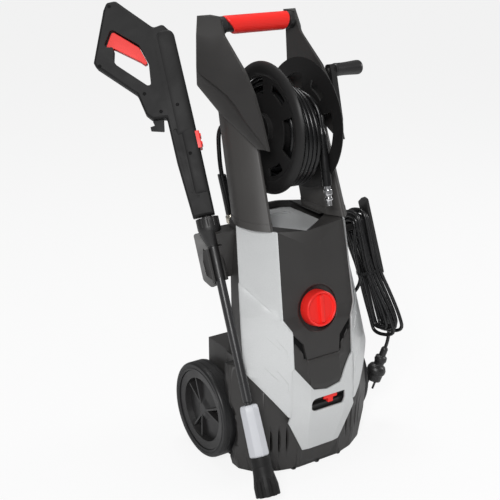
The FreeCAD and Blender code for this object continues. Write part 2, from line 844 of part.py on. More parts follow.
def sector(r_low, r_high, start, span, x0, length):
    """Ring sector about the reel's axis, angles in degrees from +Z towards +Y."""
    base = V(x0, reel_y, reel_z)

    def at(r, angle):
        a = math.radians(angle)
        return base + V(0, r * math.sin(a), r * math.cos(a))
    mid = start + span / 2
    end = start + span
    edges = [
        Part.Arc(at(r_high, start), at(r_high, mid), at(r_high, end)).toShape(),
        Part.LineSegment(at(r_high, end), at(r_low, end)).toShape(),
        Part.Arc(at(r_low, end), at(r_low, mid), at(r_low, start)).toShape(),
        Part.LineSegment(at(r_low, start), at(r_high, start)).toShape(),
    ]
    return Part.Face(Part.Wire(edges)).extrude(V(length, 0, 0))


def flange_windows():
    windows = []
    step = 360.0 / window_count
    for i in range(window_count):
        wide = sector(drum_radius + 8, flange_radius - flange_band - 3, i * step + window_turn - 25, 50,
                      flange_inner_x - 1, 30)
        slim = sector(drum_radius + 18, flange_radius - flange_band - 8, i * step + window_turn + 45, 30,
                      flange_inner_x - 1, 30)
        windows += [wide, slim]
    return windows


def make_reel_drum():
    span = 2 * (flange_inner_x - seam)
    start = V(-flange_inner_x + seam, reel_y, reel_z)
    drum = tube(drum_radius, drum_radius - drum_wall, span, start, V(1, 0, 0))
    hub = tube(18.0, reel_axle_radius + running_clearance, span, start, V(1, 0, 0))
    webs = []
    for i in range(3):
        web = box(V(-flange_inner_x + seam, -2, 15), V(flange_inner_x - seam, 2, drum_radius - 1))
        web.rotate(V(0, 0, 0), V(1, 0, 0), 120 * i)
        web.translate(V(0, reel_y, reel_z))
        webs.append(web)
    return drum.fuse(webs + [hub])


def loop_sizes(turn):
    """Radius and droop of the outer loops, which get smaller and hang lower across the drum."""
    share = turn / hose_turns
    radius = loop_radius + (loop_end_radius - loop_radius) * share
    droop = loop_droop + (loop_end_droop - loop_droop) * share
    return radius, droop


def loop_state(turn):
    """Centre line of the outer loops: drooping circles that step across the drum."""
    angle = 2 * math.pi * turn
    radius, droop = loop_sizes(turn)
    x = loop_start_x + hose_pitch * turn
    y = reel_y - radius * math.sin(angle)
    z = reel_z - droop + radius * math.cos(angle)
    shrink = (loop_end_radius - loop_radius) / hose_turns
    sink = (loop_end_droop - loop_droop) / hose_turns
    heading = V(hose_pitch, -2 * math.pi * radius * math.cos(angle) - shrink * math.sin(angle),
                -2 * math.pi * radius * math.sin(angle) + shrink * math.cos(angle) - sink)
    return V(x, y, z), heading


def make_hose_winding():
    """Five loose outer loops over a plain core on the drum."""
    edges = []
    start, start_heading = loop_state(0)
    for i in range(hose_turns * 4):
        a, ha = loop_state(i / 4)
        b, hb = loop_state((i + 1) / 4)
        edges += biarc_edges(a, ha, b, hb)
    samples = [loop_state(i / 24)[0] for i in range(hose_turns * 24)]
    turns = [i / 24 for i in range(hose_turns * 24)]
    print("hose winding least gap", round(least_gap(samples, turns, hose_diameter), 2))
    outer = sweep(Part.Wire(edges), hose_diameter / 2, start, start_heading, "hose winding")
    span = hose_pitch * hose_turns
    rings = []
    for turn in (0, hose_turns):
        radius, droop = loop_sizes(turn)
        middle = V(loop_start_x + hose_pitch * turn, reel_y, reel_z - droop)
        inner = radius - hose_diameter / 2 - free_gap - (1.5 if turn else 0.0)
        rings.append(Part.Wire(Part.makeCircle(inner, middle, V(1, 0, 0))))
    core = Part.makeLoft(rings, True, True)
    hollow = cylinder(drum_radius + free_gap, span, V(loop_start_x, reel_y, reel_z), V(1, 0, 0))
    return Part.makeCompound([outer, core.cut(hollow)])


def make_hose_tail():
    return route_tube(tail_points, hose_diameter / 2, "hose tail")


def tail_end():
    last = V(*tail_points[-1])
    heading = (last - V(*tail_points[-2])).normalize()
    return last, heading


def make_hose_sleeve():
    last, heading = tail_end()
    cone = Part.makeCone(hose_diameter / 2 + 1.0, ferrule_radius, 14, last, heading)
    body = cylinder(ferrule_radius, ferrule_length - 14, last + heading * 14, heading)
    return cone.fuse(body)


def make_hose_connector():
    last, heading = tail_end()
    start = last + heading * ferrule_length
    profile = [(0, 0), (6.0, 0), (6.0, 8), (8.0, 10), (8.0, 16), (6.5, 18), (6.5, 22),
               (8.0, 24), (8.0, 27), (5.5, 29), (5.5, plug_fitting_length), (0, plug_fitting_length)]
    return revolve_profile(profile, start, heading, V(1, 0, 0))


def make_reel_axle():
    left = V(feed_points[-1][0] - 3, reel_y, reel_z)
    return cylinder(reel_axle_radius, crank_x + crank_thick - 1 - left.x, left, V(1, 0, 0))


def crank_end():
    a = math.radians(crank_angle)
    return V(crank_x, reel_y + crank_radius * math.sin(a), reel_z + crank_radius * math.cos(a))


def make_crank_arm():
    centre = V(crank_x, reel_y, reel_z)
    end = crank_end()
    along = end - centre
    length = along.Length
    along.normalize()
    across = V(0, along.z, -along.y)
    points = [centre + across * 17 - along * 17, centre + across * 11 + along * (length - 5),
              centre + across * 8 + along * (length + 12), centre - across * 8 + along * (length + 12),
              centre - across * 11 + along * (length - 5), centre - across * 17 - along * 17]
    arm = Part.Face(rounded_wire(points, [14, 5, 7, 7, 5, 14])).extrude(V(crank_thick, 0, 0))
    bore = cylinder(reel_axle_radius + running_clearance, 40, centre - V(10, 0, 0), V(1, 0, 0))
    pin_hole = cylinder(crank_pin_radius + running_clearance, 40, end - V(10, 0, 0), V(1, 0, 0))
    return arm.cut(bore).cut(pin_hole)


def make_crank_pin():
    end = crank_end()
    shaft = cylinder(crank_pin_radius, crank_thick + crank_grip_length - 8, end, V(1, 0, 0))
    return shaft


def make_crank_grip():
    start = crank_end() + V(crank_thick + free_gap, 0, 0)
    r = crank_grip_radius
    length = crank_grip_length
    bore = crank_pin_radius + running_clearance
    profile = [(bore, 0), (r - 3.5, 0), (r - 1.5, 4), (r - 0.5, 20), (r, 45), (r - 1, length - 6),
               (r - 4, length - 1), (r - 7, length), (0, length), (0, length - 7), (bore, length - 7)]
    return revolve_profile(profile, start, V(1, 0, 0), V(0, 0, 1))


# Feed hose
def make_feed_hose():
    return route_tube(feed_points, feed_diameter / 2, "feed hose")


def make_feed_sleeve():
    """Bend guard over the feed hose's lower end."""
    guard = route_tube(feed_points, feed_sleeve_radius, "feed sleeve")
    guard = guard.common(box(V(-130, 150, 480), V(-40, 260, 572)))
    return guard.cut(route_tube(feed_points, feed_diameter / 2 + 0.05, "feed sleeve bore"))


def outlet_knee():
    """Centre of the outlet's elbow, straight below the feed hose's end."""
    end = V(*feed_points[0])
    return end - (V(*feed_points[1]) - end).normalize() * 30


def make_outlet_fitting():
    """Elbow out of the housing's back, with a nut under the feed hose."""
    knee_at = outlet_knee()
    heading = (V(*feed_points[0]) - knee_at).normalize()
    stem = cylinder(8.0, knee_at.y - 160, V(knee_at.x, 160, knee_at.z), V(0, 1, 0))
    knee = cylinder(8.8, 20.0, knee_at - heading * 10.0, heading)
    riser = cylinder(8.6, 30 - free_gap, knee_at, heading)
    nut = hex_prism(10.2, 12.0, V(0, 0, 0))
    nut.Placement = FreeCAD.Placement(knee_at + heading * 13, FreeCAD.Rotation(V(0, 0, 1), heading))
    return stem.fuse([knee, riser, nut])


def hex_prism(flat_half, height, base):
    r = flat_half / math.cos(math.pi / 6)
    points = [base + V(r * math.cos(math.pi / 3 * i), r * math.sin(math.pi / 3 * i), 0) for i in range(6)]
    return Part.Face(Part.makePolygon(points + points[:1])).extrude(V(0, 0, height))


def make_reel_swivel():
    """Banjo that the feed hose screws into, round the end of the reel's axle."""
    x = feed_points[-1][0]
    body = cylinder(swivel_radius, 14, V(x - 6, reel_y, reel_z), V(1, 0, 0))
    port = cylinder(swivel_port, 40, V(x, reel_y + 4, feed_points[-1][2]), V(0, 1, 0))
    bore = cylinder(reel_axle_radius + running_clearance, 16, V(x - 4, reel_y, reel_z), V(1, 0, 0))
    return body.fuse(port).cut(bore)


# Drive
def make_motor_housing():
    can = cylinder(motor_radius, motor_top - motor_bottom, V(0, motor_y, motor_bottom), V(0, 0, 1))
    fins = []
    for i in range(16):
        fin = box(V(motor_radius - 1, -1.5, 12), V(motor_radius + 5, 1.5, motor_top - motor_bottom - 12))
        fin.rotate(V(0, 0, 0), V(0, 0, 1), 22.5 * i)
        fin.translate(V(0, motor_y, motor_bottom))
        fins.append(fin)
    bore = cylinder(shaft_radius + running_clearance, 400, V(0, motor_y, 100), V(0, 0, 1))
    return can.fuse(fins).cut(bore)


def make_motor_shaft():
    return cylinder(shaft_radius, motor_top - motor_bottom + 60, V(0, motor_y, motor_bottom - 22), V(0, 0, 1))


def make_cooling_fan():
    z = motor_top + 6
    hub = tube(16.0, shaft_radius + running_clearance, 16, V(0, motor_y, z), V(0, 0, 1))
    disc = tube(fan_radius, 15.0, 2.5, V(0, motor_y, z), V(0, 0, 1))
    blades = []
    for i in range(fan_blades):
        blade = box(V(14, -1.2, 1), V(fan_radius - 1, 1.2, 15))
        blade.rotate(V(0, 0, 0), V(0, 0, 1), 360.0 / fan_blades * i)
        blade.translate(V(0, motor_y, z))
        blades.append(blade)
    return hub.fuse(blades + [disc])


def make_pump_body():
    """Swash-plate case on top, valve head below, on a rubber-mounted stand."""
    top = motor_bottom - free_gap
    body = cylinder(pump_radius, 70, V(0, motor_y, top - 70), V(0, 0, 1))
    head = box(V(-head_width / 2, motor_y - 34, pump_bottom), V(head_width / 2, motor_y + 34, top - 70))
    pipe_y = motor_y + 20
    inlet = tube(13.0, 9.0, rear_end_y - wall - 1 - pipe_y, V(inlet_x, pipe_y, inlet_z), V(0, 1, 0))
    link = box(V(20, motor_y + 12, inlet_z - 13), V(inlet_x + 8, motor_y + 32, inlet_z + 13))
    outlet = cylinder(9.0, 40, V(-head_width / 2 - 8, motor_y, inlet_z), V(1, 0, 0))
    valves = [cylinder(9.0, 14, V(24 * i, motor_y - 46, 130), V(0, 1, 0)) for i in (-1, 0, 1)]
    pocket = cylinder(shaft_radius + 1, 30, V(0, motor_y, top - 26), V(0, 0, 1))
    stand = box(V(-30, motor_y - 34, base_bottom + wall + 0.3), V(30, motor_y + 6, pump_bottom + 1))
    return body.fuse([head, inlet, link, outlet, stand] + valves).cut(pocket)


def make_water_inlet():
    """Threaded garden hose inlet with its collar, in the back of the tub."""
    y = rear_end_y + 0.3
    collar = tube(19.0, 8.5, 6, V(inlet_x, y, inlet_z), V(0, 1, 0))
    spigot = tube(13.2, 8.5, 24, V(inlet_x, y, inlet_z), V(0, 1, 0))
    return collar.fuse(spigot)


def make_switch_box():
    normal = panel_normal()
    centre = V(0, panel_face_y(switch_z), switch_z) - normal * (12 + free_gap)
    cube = box(V(-20, -20, 0), V(20, 20, 22))
    turn = FreeCAD.Rotation(V(0, 0, 1), normal * -1)
    cube.Placement = FreeCAD.Placement(centre, turn)
    bore = cylinder(3.06, 60, centre - normal * 30, normal)
    return cube.cut(bore)


def upright_on(normal):
    """Turn that points +Z along the normal and keeps +X level."""
    side = V(1, 0, 0)
    return FreeCAD.Rotation(side, normal.cross(side), normal, "ZXY")


def make_switch_knob():
    """Round dial with a raised bar across it, on its spindle."""
    normal = panel_normal()
    base = V(0, panel_face_y(switch_z), switch_z) - normal * 8
    r = switch_radius
    top = switch_depth + 5
    face = top - 3
    profile = [(0, 0), (r, 0), (r, 3), (r - 1.5, top), (r - 2.5, top + 2.2), (r - 4.5, top + 3),
               (r - 6.5, top + 2), (r - 8.0, face), (0, face)]
    knob = revolve_profile(profile, V(0, 0, 0), V(0, 0, 1), V(1, 0, 0))
    bar = box(V(-5, -r + 8.5, face - 2), V(5, r - 8.5, face + 7))
    bar = bar.makeFillet(2.0, [e for e in bar.Edges if abs(e.CenterOfMass.z - face - 7) < 0.01])
    spindle = cylinder(3.0, 16, V(0, 0, -14), V(0, 0, 1))
    knob = knob.fuse([bar, spindle])
    knob.Placement = FreeCAD.Placement(base, upright_on(normal))
    return knob


def make_dosing_tab():
    """Tab with a wide head; its tongue runs in the dosing valve's groove."""
    y = -34.0
    half = tab_width / 2
    stem = box(V(tab_x - half, y, slot_z - 5), V(tab_x + half, y + 4, slot_z + 12))
    head = box(V(tab_x - 16, y, slot_z + 4), V(tab_x + 16, y + 4, slot_z + 12))
    tongue = box(V(tab_x - half, y + 3, slot_z - 3.7), V(tab_x + half, y + 10, slot_z + 3.7))
    return stem.fuse([head, tongue])


def make_dosing_valve():
    """Block behind the slot that the detergent tab slides along."""
    front = -34.0 + 4 + free_gap
    block = box(V(-47, front, slot_z - 17), V(47, -13.5, slot_z + 17))
    groove = box(V(-48, front - 1, slot_z - 4), V(48, front + 8, slot_z + 4))
    return block.cut(groove)


def make_detergent_tank():
    """Detergent tank in the front of the tub."""
    tank = box(V(-50, 0, base_bottom + wall + 0.3), V(50, 44, 132))
    edges = [e for e in tank.Edges if e.Length > 60 and abs(e.CenterOfMass.z - 68) < 12]
    tank = tank.makeFillet(8.0, edges)
    pipe = cylinder(5.0, 20, V(0, 7, 126), V(0, 0, 1))
    return tank.fuse(pipe)


def make_pressure_pipe():
    """Pipe inside the housing from the pump's outlet to the hose outlet."""
    knee = outlet_knee()
    points = [(-head_width / 2 - 8.4, motor_y, inlet_z), (-81, motor_y, inlet_z), (-88, 116, 164),
              (-89, 132, 226), (-88, 138, 298), (-85, 138, 368), (-79, 132, 428), (knee.x, 128, knee.z),
              (knee.x, 159.6, knee.z)]
    return route_tube(points, 5.0, "pressure pipe")


# Wheels
def make_rim(side):
    """Dished wheel centre with a closed bowl and three split spokes."""
    x_out = wheel_outer_x - 3
    x_in = wheel_outer_x - wheel_width
    base = V(0, axle_y, wheel_radius)
    bore = axle_radius + running_clearance
    lip = rim_radius - rim_lip
    profile = [(bore, x_in + 2), (hub_radius, x_in + 2), (hub_radius, x_out - bowl_depth - 4),
               (lip - 8, x_out - bowl_depth - 4), (lip - 3, x_in + 6), (rim_radius, x_in + 2),
               (rim_radius, x_out - 1), (rim_radius - 1, x_out), (lip, x_out - 2), (lip - 2, x_out - bowl_depth),
               (hub_radius + 10, x_out - bowl_depth + 4), (hub_radius, x_out - 6), (hub_radius - 4, x_out - 4.5),
               (0, x_out - 4.5), (0, x_out - hub_cap), (bore, x_out - hub_cap)]
    rim = revolve_profile(profile, base, V(1, 0, 0), V(0, 0, 1))
    for i in range(spoke_count):
        angle = 40 + 360.0 / spoke_count * i
        rim = rim.cut(spoke_slot(angle, x_in, x_out, lip))
        rim = rim.fuse(spoke_ribs(angle, x_out, lip))
    return rim if side > 0 else mirrored(rim)


def wheel_point(x, r, angle):
    a = math.radians(angle)
    return V(x, axle_y + r * math.sin(a), wheel_radius + r * math.cos(a))


def spoke_slot(angle, x_in, x_out, lip):
    inner = 26.0
    points = [wheel_point(x_in - 5, inner, angle - 3),
              wheel_point(x_in - 5, lip - 4, angle - spoke_spread + 5),
              wheel_point(x_in - 5, lip - 4, angle + spoke_spread - 5),
              wheel_point(x_in - 5, inner, angle + 3)]
    return Part.Face(rounded_wire(points, [1, 4, 4, 1])).extrude(V(wheel_width + 10, 0, 0))


def spoke_ribs(angle, x_out, lip):
    ribs = []
    for turn in (-1, 1):
        a = wheel_point(x_out - bowl_depth - 2, hub_radius - 3, angle)
        b = wheel_point(x_out - bowl_depth - 2, lip + 1, angle + turn * spoke_spread)
        along = (b - a).normalize()
        across = V(0, along.z, -along.y) * (spoke_rib / 2)
        outline = [a + across, b + across, b - across, a - across]
        rib = Part.Face(Part.makePolygon(outline + outline[:1])).extrude(V(bowl_depth - 3, 0, 0))
        ribs.append(rib)
    return ribs[0].fuse(ribs[1])


def make_tyre(side):
    x0 = wheel_outer_x - wheel_width
    x1 = wheel_outer_x
    r0 = rim_radius + 0.02
    r1 = wheel_radius
    profile = [(r0, x0), (r1 - 4, x0), (r1 - 1, x0 + 3), (r1, x0 + 8), (r1, x1 - 8),
               (r1 - 1, x1 - 3), (r1 - 4, x1), (r0, x1)]
    tyre = revolve_profile(profile, V(0, axle_y, wheel_radius), V(1, 0, 0), V(0, 0, 1))
    return tyre if side > 0 else mirrored(tyre)


def make_wheel_axle():
    half = wheel_outer_x - 3 - hub_cap - free_gap
    return cylinder(axle_radius, 2 * half, V(-half, axle_y, wheel_radius), V(1, 0, 0))


# Cord hook, hank and plug
def hank_frame():
    """Directions of the hank: down its length, outwards through its layers, and across."""
    down = (hank_foot - saddle).normalize()
    out = V(1, 0, 0) - down * down.x
    out.normalize()
    across = down.cross(out)
    return down, out, across


def hank_point(across_by, down_by, out_by):
    down, out, across = hank_frame()
    return saddle + across * across_by + down * down_by + out * out_by


def hank_depth(turn):
    """How far a turn lies outside the innermost loop, and in which layer."""
    layer = int(min(turn / layer_turns, hank_layers - 1e-9))
    inside = turn - layer * layer_turns
    reach = hank_pitch * layer_turns
    if layer == 0:
        share = inside / layer_turns
        climb = 0.0
    else:
        share = max(0.0, (inside - 0.5) / (layer_turns - 0.5))
        climb = min(1.0, inside / 0.5) - 1.0
    outward = share if layer % 2 == 0 else 1.0 - share
    return reach * outward, hank_pitch * (layer + climb)


def hank_node(turn, station):
    """Point and heading of the loop at one of its eight stations."""
    spread, lift = hank_depth(turn)
    top = saddle_radius + spread
    waist = waist_half + spread
    bottom = bottom_radius + spread
    down, out, across = hank_frame()
    lean = down * (bottom_drop - waist_drop) + across * (foot_shift - waist_shift) + out * foot_swing
    lean.normalize()
    middle = (down + lean).normalize()
    rows = (
        (top, 0.0, 0.0, -down), (0.0, -top, 0.0, -across), (-top, 0.0, 0.0, down),
        (waist_shift - waist, waist_drop, 0.0, middle), (foot_shift - bottom, bottom_drop, foot_swing, lean),
        (foot_shift, bottom_drop + bottom, foot_swing, across),
        (foot_shift + bottom, bottom_drop, foot_swing, -lean), (waist_shift + waist, waist_drop, 0.0, -middle),
    )
    across_by, down_by, out_by, heading = rows[station]
    return hank_point(across_by, down_by, out_by + lift + cord_diameter / 2), heading



def hank_nodes():
    """The lead-in strand inside the hank, then every turn, down to the plug's end."""
    down, out, across = hank_frame()
    start = hank_point(5.5, 70.0, cord_diameter / 2 - hank_pitch)
    nodes = [(start, -down, -0.2)]
    for turn in range(hank_layers * layer_turns):
        for station in range(8):
            t = turn + hank_shares[station]
            nodes.append(hank_node(t, station) + (t,))
    return nodes[:-4]


def make_cord_hank():
    nodes = hank_nodes()
    edges = []
    samples, turns = [], []
    for (a, ha, ta), (b, hb, tb) in zip(nodes, nodes[1:]):
        pair = biarc_edges(a, ha, b, hb)
        edges += pair
        for k, edge in enumerate(pair):
            for p in edge.discretize(5)[:-1]:
                samples.append(p)
                turns.append(ta + (tb - ta) * 0.5 * k)
    print("cord hank least gap", round(least_gap(samples, turns, cord_diameter), 2))
    path = Part.Wire(edges)
    print("cord hank length", round(path.Length))
    return sweep(path, cord_diameter / 2, nodes[0][0], nodes[0][1], "cord hank")


def make_cord_hook():
    """Arm out of the body's side with a long blade that keeps the hank on."""
    down, out, across = hank_frame()
    depth = hank_pitch * hank_layers + 2
    arm = box(V(-hook_arm, -hook_arm, -40), V(hook_arm, hook_arm, depth))
    arm = arm.makeFillet(3.0, [e for e in arm.Edges if e.Length > 60])
    low, high = blade_shift - hook_width / 2, blade_shift + hook_width / 2
    points = [V(low + 3, hook_drop, depth - 0.5), V(low, 9 - hook_rise, depth - 0.5),
              V(blade_shift + 3, -hook_rise, depth - 0.5), V(high, 6 - hook_rise, depth - 0.5),
              V(high - 3, hook_drop, depth - 0.5)]
    blade = Part.Face(rounded_wire(points, [4, 4, 8, 6, 4])).extrude(V(0, 0, 7))
    hook = arm.fuse(blade)
    hook.Placement = FreeCAD.Placement(saddle, FreeCAD.Rotation(across, down * -1, out, "ZXY"))
    return hook.cut(body_solid(-free_gap))


def gland_heading():
    """The gland points along the lead's first run."""
    return (lead_corner() - gland_point).normalize()


def lead_corner():
    """Where the lead's two runs meet, one run below the hank's lead-in strand."""
    down = hank_frame()[0]
    return hank_nodes()[0][0] + down * lead_run


def make_cord_gland():
    heading = gland_heading()
    barrel = cylinder(gland_radius, 34, gland_point - heading * 14, heading)
    tip = Part.makeCone(gland_radius - 0.5, cord_diameter / 2 + 1.2, 10, gland_point + heading * 20, heading)
    bore = cylinder(cord_diameter / 2 + 0.05, 60, gland_point - heading * 20, heading)
    return barrel.fuse(tip).cut(bore)


def make_cord_lead():
    """Cord from inside the gland up to the hank."""
    points = [gland_point - gland_heading() * 12, lead_corner(), hank_nodes()[0][0]]
    return route_tube(points, cord_diameter / 2, "cord lead")


def tail_corners():
    """Free end of the cord, over the hank's outer layer and down to the plug."""
    end, heading, _ = hank_nodes()[-1]
    first = end + V(heading).normalize() * 18
    over = hank_point(foot_shift - bottom_radius - 6, bottom_drop + 6, hank_pitch * hank_layers + 18)
    return [end, first, over, plug_top - V(plug_heading).normalize() * 26, plug_top]


def make_cord_tail():
    return route_tube(tail_corners(), cord_diameter / 2, "cord tail")


def make_cord_plug():
    """Angled strain relief, waisted grip and flat-faced body of the mains plug."""
    corners = tail_corners()
    heading = (corners[-1] - corners[-2]).normalize()
    profile = [(0, 0), (5.5, 0), (7.5, 4), (7.5, 20), (12.5, 23), (13.5, 31), (11.0, 37), (11.0, 42),
               (17.0, 46), (20.5, 53), (20.5, 60), (18.0, 64), (17.5, 79), (0, 79)]
    return revolve_profile(profile, corners[-1], heading, heading.cross(V(1, 0, 0)).normalize())


def make_plug_pins():
    """Two round pins in the plug's face."""
    corners = tail_corners()
    heading = (corners[-1] - corners[-2]).normalize()
    side = heading.cross(V(1, 0, 0)).normalize()
    face = corners[-1] + heading * 79
    return Part.makeCompound([cylinder(2.4, 19, face + side * (9.5 * k), heading) for k in (-1, 1)])


def make_cord_tie():
    """Flat band round the hank's waist."""
    down, out, across = hank_frame()
    half_across = waist_half + hank_pitch * layer_turns + cord_diameter / 2 + tie_room
    low = cord_diameter / 2 - hank_pitch - cord_diameter / 2 - tie_room
    high = hank_pitch * (hank_layers - 1) + cord_diameter + tie_room
    outer = box(V(-half_across - 1.2, -3.5, low - 1.2), V(half_across + 1.2, 3.5, high + 1.2))
    inner = box(V(-half_across, -6, low), V(half_across, 6, high))
    band = outer.cut(inner)
    place = saddle + down * waist_drop + across * waist_shift
    band.Placement = FreeCAD.Placement(place, FreeCAD.Rotation(across, down * -1, out, "ZXY"))
    return band


# Gun and lance, in their own frame: z up the barrel, x out along the grip
def lance_placement():
    turn = FreeCAD.Rotation(V(1, 0, 0), lance_lean)
    turn = turn.multiply(FreeCAD.Rotation(V(0, 1, 0), lance_splay))
    turn = turn.multiply(FreeCAD.Rotation(V(0, 0, 1), lance_turn))
    return FreeCAD.Placement(lance_foot, turn)


def stored(shape):
    shape.Placement = lance_placement().multiply(shape.Placement)
    return shape


def gun_profile(outline, radii, y=0.0):
    return Part.Face(rounded_wire([V(x, y, z) for x, z in outline], radii))


def gun_block():
    """Half of the gun's outside, its edge rounded in three steps."""
    half = gun_thickness / 2
    steps = ((0.0, 0.0), (half - 6.0, 0.0), (half - 2.0, 1.8), (half, 5.0))
    wires = []
    for y, inset in steps:
        points = inset_outline(gun_outline, inset) if inset else gun_outline
        wires.append(rounded_wire([V(x, y, z) for x, z in points], [max(r - inset, 0.8) for r in gun_radii]))
    return Part.makeLoft(wires, True, True)


def barrel_pad():
    """Raised plate on the side of the barrel, over the valve."""
    half = gun_thickness / 2
    steps = ((half - 1.0, 0.0), (half + pad_height - 0.6, 0.0), (half + pad_height, 0.8))
    wires = []
    for y, inset in steps:
        points = [V(x, y, z) for x, z in inset_outline(pad_outline, inset)]
        wires.append(rounded_wire(points, [max(r - inset, 0.8) for r in pad_radii]))
    return Part.makeLoft(wires, True, True)


def side_groove():
    """Shallow ring groove with round ends along the back of the barrel's side."""
    low, high = groove_ends
    rings = []
    for r in (4.6, 3.0):
        up = (high - low).normalize()
        side = V(up.z, 0, -up.x) * r
        points = [low - side, low + side, high + side, high - side]
        edges = [Part.LineSegment(points[0], points[3]).toShape(),
                 Part.Arc(points[3], high + up * r, points[2]).toShape(),
                 Part.LineSegment(points[2], points[1]).toShape(),
                 Part.Arc(points[1], low - up * r, points[0]).toShape()]
        face = Part.Face(Part.Wire(edges))
        face.translate(V(0, gun_thickness / 2 - 1.2, 0))
        rings.append(face.extrude(V(0, 4, 0)))
    return rings[0].cut(rings[1])


def trigger_sweep():
    """The trigger's own space, at rest and pulled, with room round it."""
    grown = inset_outline(trigger_outline, -1.4)
    half = trigger_thickness / 2 + 0.5
    spaces = []
    for angle in (0, -4, -8):
        blade = gun_profile(grown, [r + 1.4 for r in trigger_radii], -half).extrude(V(0, 2 * half, 0))
        blade.rotate(trigger_pivot, V(0, 1, 0), angle)
        spaces.append(blade)
    return spaces[0].fuse(spaces[1:])


def make_gun_half(side):
    """Hollow half of the gun: skin, guard, screw holes, trigger slot and button slot."""
    half = gun_thickness / 2
    hollow = gun_profile(inset_outline(gun_outline, gun_skin), [max(r - gun_skin, 0.8) for r in gun_radii])
    hollow = hollow.extrude(V(0, half - gun_skin, 0))
    guard_wall = gun_profile(inset_outline(guard_outline, -gun_skin), [r + gun_skin for r in guard_radii])
    hollow = hollow.cut(guard_wall.extrude(V(0, half, 0)))
    bosses = [cylinder(4.2, half, V(x, 0, z), V(0, 1, 0)) for x, z in screw_spots[:-1]]
    hollow = hollow.cut(Part.makeCompound(bosses))
    holes = [cylinder(2.7, half, V(x, half - 2.0, z), V(0, 1, 0)) for x, z in screw_spots]
    hole = gun_profile(guard_outline, guard_radii).extrude(V(0, half, 0))
    button = box(V(-30, -1, 190), V(-10.2, half + 1, 226))
    cheek = box(V(-30, button_cheek - 0.6, 190), V(-5.6, half + 1, 226))
    spout = cylinder(9.4, 30, V(0, 0, 50), V(0, 0, 1))
    valve = cylinder(13.0 + free_gap, 98, V(0, 0, 297), V(0, 0, 1))
    body = gun_block().fuse(barrel_pad()).cut(hollow).cut(Part.makeCompound(holes))
    body = body.cut(hole).cut(button.fuse(cheek)).cut(spout).cut(valve).cut(side_groove())
    if side < 0:
        body = body.mirror(V(0, 0, 0), V(0, 1, 0))
        body.translate(V(0, -0.05, 0))
        hook = gun_profile(((62, 264), (60, 255), (69, 254), (69, 247), (44, 240), (40, 264)), (0.8, 1, 1, 1, 2, 0.8))
        hook = hook.extrude(V(0, 9, 0))
        hook.translate(V(0, -9.05, 0))
        body = body.fuse(hook)
    return body.cut(trigger_sweep())


def make_gun_trigger():
    blade = gun_profile(trigger_outline, trigger_radii, -trigger_thickness / 2)
    return blade.extrude(V(0, trigger_thickness, 0))


def make_gun_button():
    """Lock button that straddles the barrel's front edge, with two ribs for the thumb."""
    wide = gun_thickness / 2 + 0.8
    bridge = box(V(-21.5, -wide, 191), V(-13.5, wide, 225))
    right = box(V(-14, button_cheek, 191), V(-9, wide, 225))
    left = right.mirror(V(0, 0, 0), V(0, 1, 0))
    edges = [e for e in bridge.Edges if abs(e.CenterOfMass.x + 21.5) < 0.1]
    ribs = [box(V(-23.5, -wide + 2, z), V(-20, wide - 2, z + 6)) for z in (197, 213)]
    return bridge.makeFillet(2.0, edges).fuse([right, left] + ribs)


def make_gun_valve():
    """Valve in the barrel, its water pipe, and the socket that the lance turns in."""
    body = cylinder(13.0, 92, V(0, 0, 300), V(0, 0, 1))
    stem = cylinder(2.5, 30, V(10, 0, 378), V(1, 0, 0))
    pipe = cylinder(4.5, 200, V(-5, 0, 101), V(0, 0, 1))
    socket = tube(13.0, 9.0 + running_clearance, 42, V(0, 0, 63), V(0, 0, 1))
    cap = cylinder(13.0, 4, V(0, 0, 101), V(0, 0, 1))
    return body.fuse([stem, pipe, socket, cap])


# Lance pieces, on the lance's axis
def lance_turned(profile):
    return revolve_profile(profile, V(0, 0, 0), V(0, 0, 1), V(1, 0, 0))


def make_lance_collar():
    """Bayonet collar: ribbed cup on top, taper below, plug at the bottom."""
    r = 22.5
    profile = [(tube_radius + 0.03, lance_plug_low), (lance_plug_radius, lance_plug_low), (lance_plug_radius, -2),
               (lance_plug_radius - 1, 0), (lance_plug_radius + 1.5, 5), (r - 1, 30), (r, 36), (r, collar_top),
               (9.0, collar_top), (9.0, 98), (6.4, 98), (6.4, 8), (tube_radius + 0.03, 6)]
    collar = lance_turned(profile)
    grooves = []
    for i in range(12):
        notch = cylinder(1.6, 20, V(r + 0.6, 0, 38), V(0, 0, 1))
        notch.rotate(V(0, 0, 0), V(0, 0, 1), 30 * i)
        grooves.append(notch)
    return collar.cut(Part.makeCompound(grooves))


def make_lance_tube():
    """Straight tube down to the nozzle, waisted where the sleeve grips it."""
    low = nozzle_low + 30
    profile = [(3.0, low), (6.0, low), (6.0, tube_low + 4), (tube_radius, tube_low + 6), (tube_radius, 5), (3.0, 5)]
    return lance_turned(profile)


def make_nozzle_sleeve():
    r = sleeve_radius
    profile = [(6.02, sleeve_low), (r - 3.0, sleeve_low), (r, sleeve_low + 5), (r - 1.0, tube_low - 7),
               (r - 3.5, tube_low - 1), (tube_radius + 1.5, tube_low), (tube_radius + 0.03, tube_low),
               (tube_radius + 0.03, tube_low - 0.5), (6.02, tube_low - 1)]
    sleeve = lance_turned(profile)
    return sleeve


